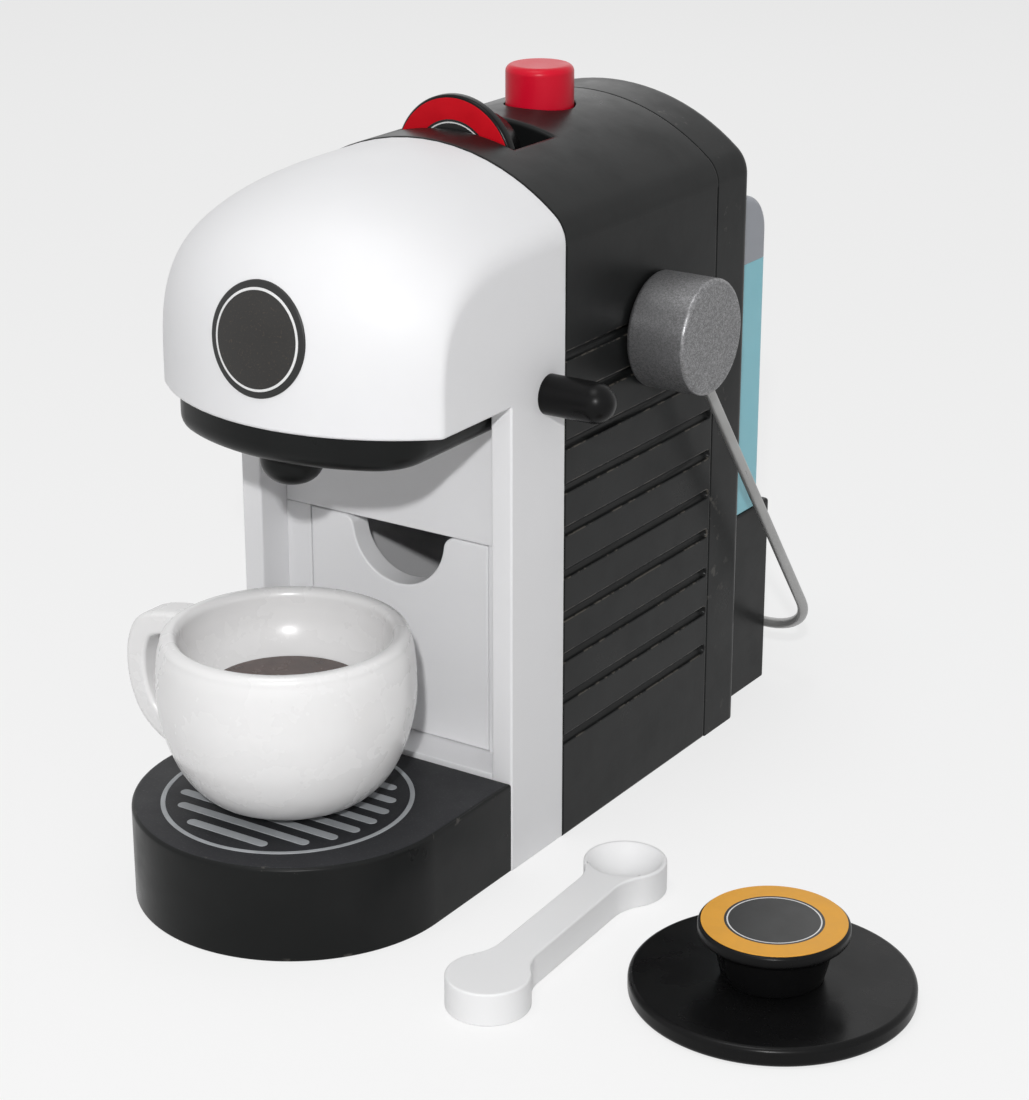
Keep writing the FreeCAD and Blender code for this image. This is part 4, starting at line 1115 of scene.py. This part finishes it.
def capsule(name, place, body, nodes, label_node, colour, slots):
    """place maps (u, v, height) to a point, with u and v across the face."""
    profile = [(0.3, 0.0), (12.4, 0.0), (12.85, 0.15), (13.05, 0.5), (13.6, 2.6), (14.6, 6.8),
               (15.5, 10.8), (15.8, 11.5), (15.95, 11.7), (18.4, 11.7), (18.95, 11.85), (19.2, 12.3),
               (19.2, 14.0), (19.05, 14.45), (18.7, 14.75), (18.3, FACE), (18.0, FACE - 0.02)]
    discs = [("edge", profile, black_gloss, nodes, slots[0]),
             ("label", [(18.4, FACE - 0.3), (18.4, FACE + 0.12), (18.3, LABEL), (12.6, LABEL)], colour,
              (label_node,), slots[1]),
             ("rim", [(12.6, LABEL), (11.95, LABEL)], ink_centre, (), slots[1]),
             ("ring", [(11.95, LABEL), (11.58, LABEL)], ink_white, (), slots[1]),
             ("centre", [(11.58, LABEL), (8.0, LABEL), (0.3, LABEL)], ink_centre, (), slots[1])]
    for tag, points, material, stands_for, slot in discs:
        rings = [[place(u, v, height) for u, v in circle(radius, 96)] for radius, height in points]
        skin(name + "_" + tag, rings, material, body, stands_for, slot,
             ends=(points[0][0] < 1, points[-1][0] < 1 or tag == "edge"), sharp=50)


def flat_place(u, v, height):
    return (SAUCER[0] + u, SAUCER[1] + v, SAUCER_TOP + GAP + height)


def upright_place(u, v, height):
    return (u, SLOT_Y0 + GAP + FACE - height, 183.6 + v)


capsule("orange_capsule", flat_place, "orange_capsule", ("capsule_orange",), "capsule_orange_label",
        ink_orange, ("black_paint", "orange_label"))
capsule("red_capsule", upright_place, "red_capsule", ("capsule_red",), "capsule_red_label", ink_red,
        ("black_paint", "red_label"))


# Spoon

SPOON_TOP = 9.0
HANDLE_END_R = 10.9
BOWL_END_R = 11.3
SHANK_HALF = 5.6
SHANK_FILLET = 14.0
BOWL_R = 10.2
BOWL_DEEP = 4.4


def fill_between(verts, faces, outer, inner):
    """Triangles between an outer loop and the hole inside it."""
    bm = bmesh.new()
    loop = {}
    edges = []
    for ring in (outer, inner):
        made = [bm.verts.new(verts[i]) for i in ring]
        for vert, i in zip(made, ring):
            loop[vert] = i
        edges += [bm.edges.new((made[k], made[(k + 1) % len(made)])) for k in range(len(made))]
    out = bmesh.ops.triangle_fill(bm, use_beauty=True, use_dissolve=False, edges=edges)
    for face in out["geom"]:
        if isinstance(face, bmesh.types.BMFace):
            faces.append(tuple(loop[v] for v in face.verts))
    bm.free()


def spoon_outline(length):
    """Round ends joined to the straight shank by fillets, along +Y from the handle's end."""
    cx = SHANK_HALF + SHANK_FILLET

    def end_arc(radius):
        # where the fillet touches the round end
        run = math.sqrt((radius + SHANK_FILLET) ** 2 - cx ** 2)
        return run, math.degrees(math.atan2(run, cx))

    run_a, turn_a = end_arc(HANDLE_END_R)
    run_b, turn_b = end_arc(BOWL_END_R)
    right = arc_points(0, 0, HANDLE_END_R, -90, turn_a, 26)
    right += arc_points(cx, run_a, SHANK_FILLET, 180 + turn_a, 180, 8)
    right += arc_points(cx, length - run_b, SHANK_FILLET, 180, 180 - turn_b, 8)
    right += arc_points(0, length, BOWL_END_R, -turn_b, 90, 26)
    left = [(-x, y) for x, y in reversed(right[:-1])]
    return right + left[:-1]


def bowl_level(radius):
    """Height of the dished bowl, with a softened rim."""
    ball = (BOWL_R ** 2 + BOWL_DEEP ** 2) / (2 * BOWL_DEEP)
    if radius > BOWL_R + 0.1:
        return SPOON_TOP
    if radius > BOWL_R - 0.1:
        return 8.93
    return SPOON_TOP - (math.sqrt(ball ** 2 - radius ** 2) - (ball - BOWL_DEEP))


def spoon():
    a = Vector((79.2, FRONT - 63.0))
    b = Vector((76.0, FRONT + 8.6))
    along = (b - a).normalized()
    across = Vector((along.y, -along.x))
    flat = [(a.x + across.x * u + along.x * v, a.y + across.y * u + along.y * v)
            for u, v in spoon_outline((b - a).length)]
    verts = []
    index = number(verts, [[(x, y, level) for x, y in inset_outline(flat, inset)]
                           for inset, level, _ in eased(0, SPOON_TOP, 0.5, 0.6, 4)[:-1]])
    faces = bridge(index) + [index[0][::-1]]
    bowl = number(verts, [[(b.x + u, b.y + v, bowl_level(radius)) for u, v in circle(radius, 64)]
                          for radius in (10.4, 10.2, 9.9, 9.0, 7.5, 5.5, 3.0, 0.3)])
    faces += bridge(bowl) + [bowl[-1]]
    # the flat top lies between the outline and the bowl's rim
    top = index[-1]
    rim = bowl[0]
    near = min(range(len(top)), key=lambda i: (Vector(verts[top[i]]) - Vector(verts[rim[0]])).length)
    fill_between(verts, faces, top[near:] + top[:near], rim[::-1])
    return piece("spoon_sawn", verts, faces, white_spoon, "spoon", ("spoon",), "white_paint", sharp=50)


spoon()


# Floor, light and camera

FLOOR_GLOW = 0.7         # share of the floor's colour that shows whatever the light
FILL = 0.36              # world's light on the object
FLOOR_SIZE = 30.0        # metres


def seen_share(tree, share):
    """A share for the rays that show the background: straight, mirrored or seen through."""
    path = add_node(tree, "LightPath")
    last = path.outputs["Is Camera Ray"]
    for ray in ("Is Glossy Ray", "Is Transmission Ray"):
        either = add_node(tree, "Math")
        either.operation = "MAXIMUM"
        tree.links.new(last, either.inputs[0])
        tree.links.new(path.outputs[ray], either.inputs[1])
        last = either.outputs[0]
    part = add_node(tree, "Math")
    part.operation = "MULTIPLY"
    part.inputs[1].default_value = share
    tree.links.new(last, part.inputs[0])
    return part.outputs[0]


def mix_to(tree, kind, share, lit, seen):
    """The tree's output: lit for the light, seen by share for the rays that show the background."""
    mix = add_node(tree, "MixShader")
    tree.links.new(seen_share(tree, share), mix.inputs[0])
    tree.links.new(lit.outputs[0], mix.inputs[1])
    tree.links.new(seen.outputs[0], mix.inputs[2])
    tree.links.new(mix.outputs[0], add_node(tree, kind).inputs[0])


def stage_plane():
    """A white floor, part of it lit, so that it keeps the object's shadow."""
    mesh = bpy.data.meshes.new("floor")
    s = FLOOR_SIZE
    mesh.from_pydata([(-s, -s, 0), (s, -s, 0), (s, s, 0), (-s, s, 0)], [], [(0, 1, 2, 3)])
    obj = bpy.data.objects.new("floor", mesh)
    bpy.context.scene.collection.objects.link(obj)
    material = bpy.data.materials.new("floor")
    material.use_nodes = True
    tree = material.node_tree
    tree.nodes.clear()
    mix_to(tree, "OutputMaterial", FLOOR_GLOW,
           add_node(tree, "BsdfDiffuse", Color=(0.80, 0.80, 0.80, 1)),
           add_node(tree, "Emission", Strength=1.0))
    mesh.materials.append(material)


def world():
    sky = bpy.data.worlds.new("studio")
    bpy.context.scene.world = sky
    sky.use_nodes = True
    tree = sky.node_tree
    tree.nodes.clear()
    lit, seen = (add_node(tree, "Background", Color=(1, 1, 1, 1), Strength=strength)
                 for strength in (FILL, 1.0))
    mix_to(tree, "OutputWorld", 1.0, lit, seen)


def lamp(name, azimuth, elevation, distance, size, power, target=(0, -10, 90)):
    """Azimuth 0 looks from the front; positive goes round to the right."""
    data = bpy.data.lights.new(name, "AREA")
    data.shape = "DISK"
    data.size = size
    data.energy = power
    obj = bpy.data.objects.new(name, data)
    bpy.context.scene.collection.objects.link(obj)
    a = math.radians(azimuth)
    e = math.radians(elevation)
    aim = Vector(target) * MM
    way = Vector((math.sin(a) * math.cos(e), -math.cos(a) * math.cos(e), math.sin(e)))
    obj.location = aim + way * distance
    obj.rotation_euler = (-way).to_track_quat("-Z", "Y").to_euler()


stage_plane()
world()
lamp("key", 31, 27.5, 1.3, 0.045, 8.5)
lamp("rear_left", -151, 27, 1.2, 0.8, 0.45)
lamp("overhead", 0, 76, 1.3, 0.6, 4.0)


def camera():
    a = math.radians(33.21)
    e = math.radians(20.77)
    back = Vector((math.sin(a) * math.cos(e), -math.cos(a) * math.cos(e), math.sin(e)))
    right = Vector((math.cos(a), math.sin(a), 0))
    up = back.cross(right)
    data = bpy.data.cameras.new("camera")
    data.sensor_width = 36.0
    data.lens = 36.0 * 2734.7 / 1100
    data.clip_start = 0.01
    obj = bpy.data.objects.new("camera", data)
    bpy.context.scene.collection.objects.link(obj)
    matrix = Matrix((right, up, back)).transposed().to_4x4()
    matrix.translation = Vector((412.72, -626.21, 348.64)) * MM
    obj.matrix_world = matrix
    bpy.context.scene.camera = obj


camera()
bpy.context.scene.view_settings.view_transform = "Standard"
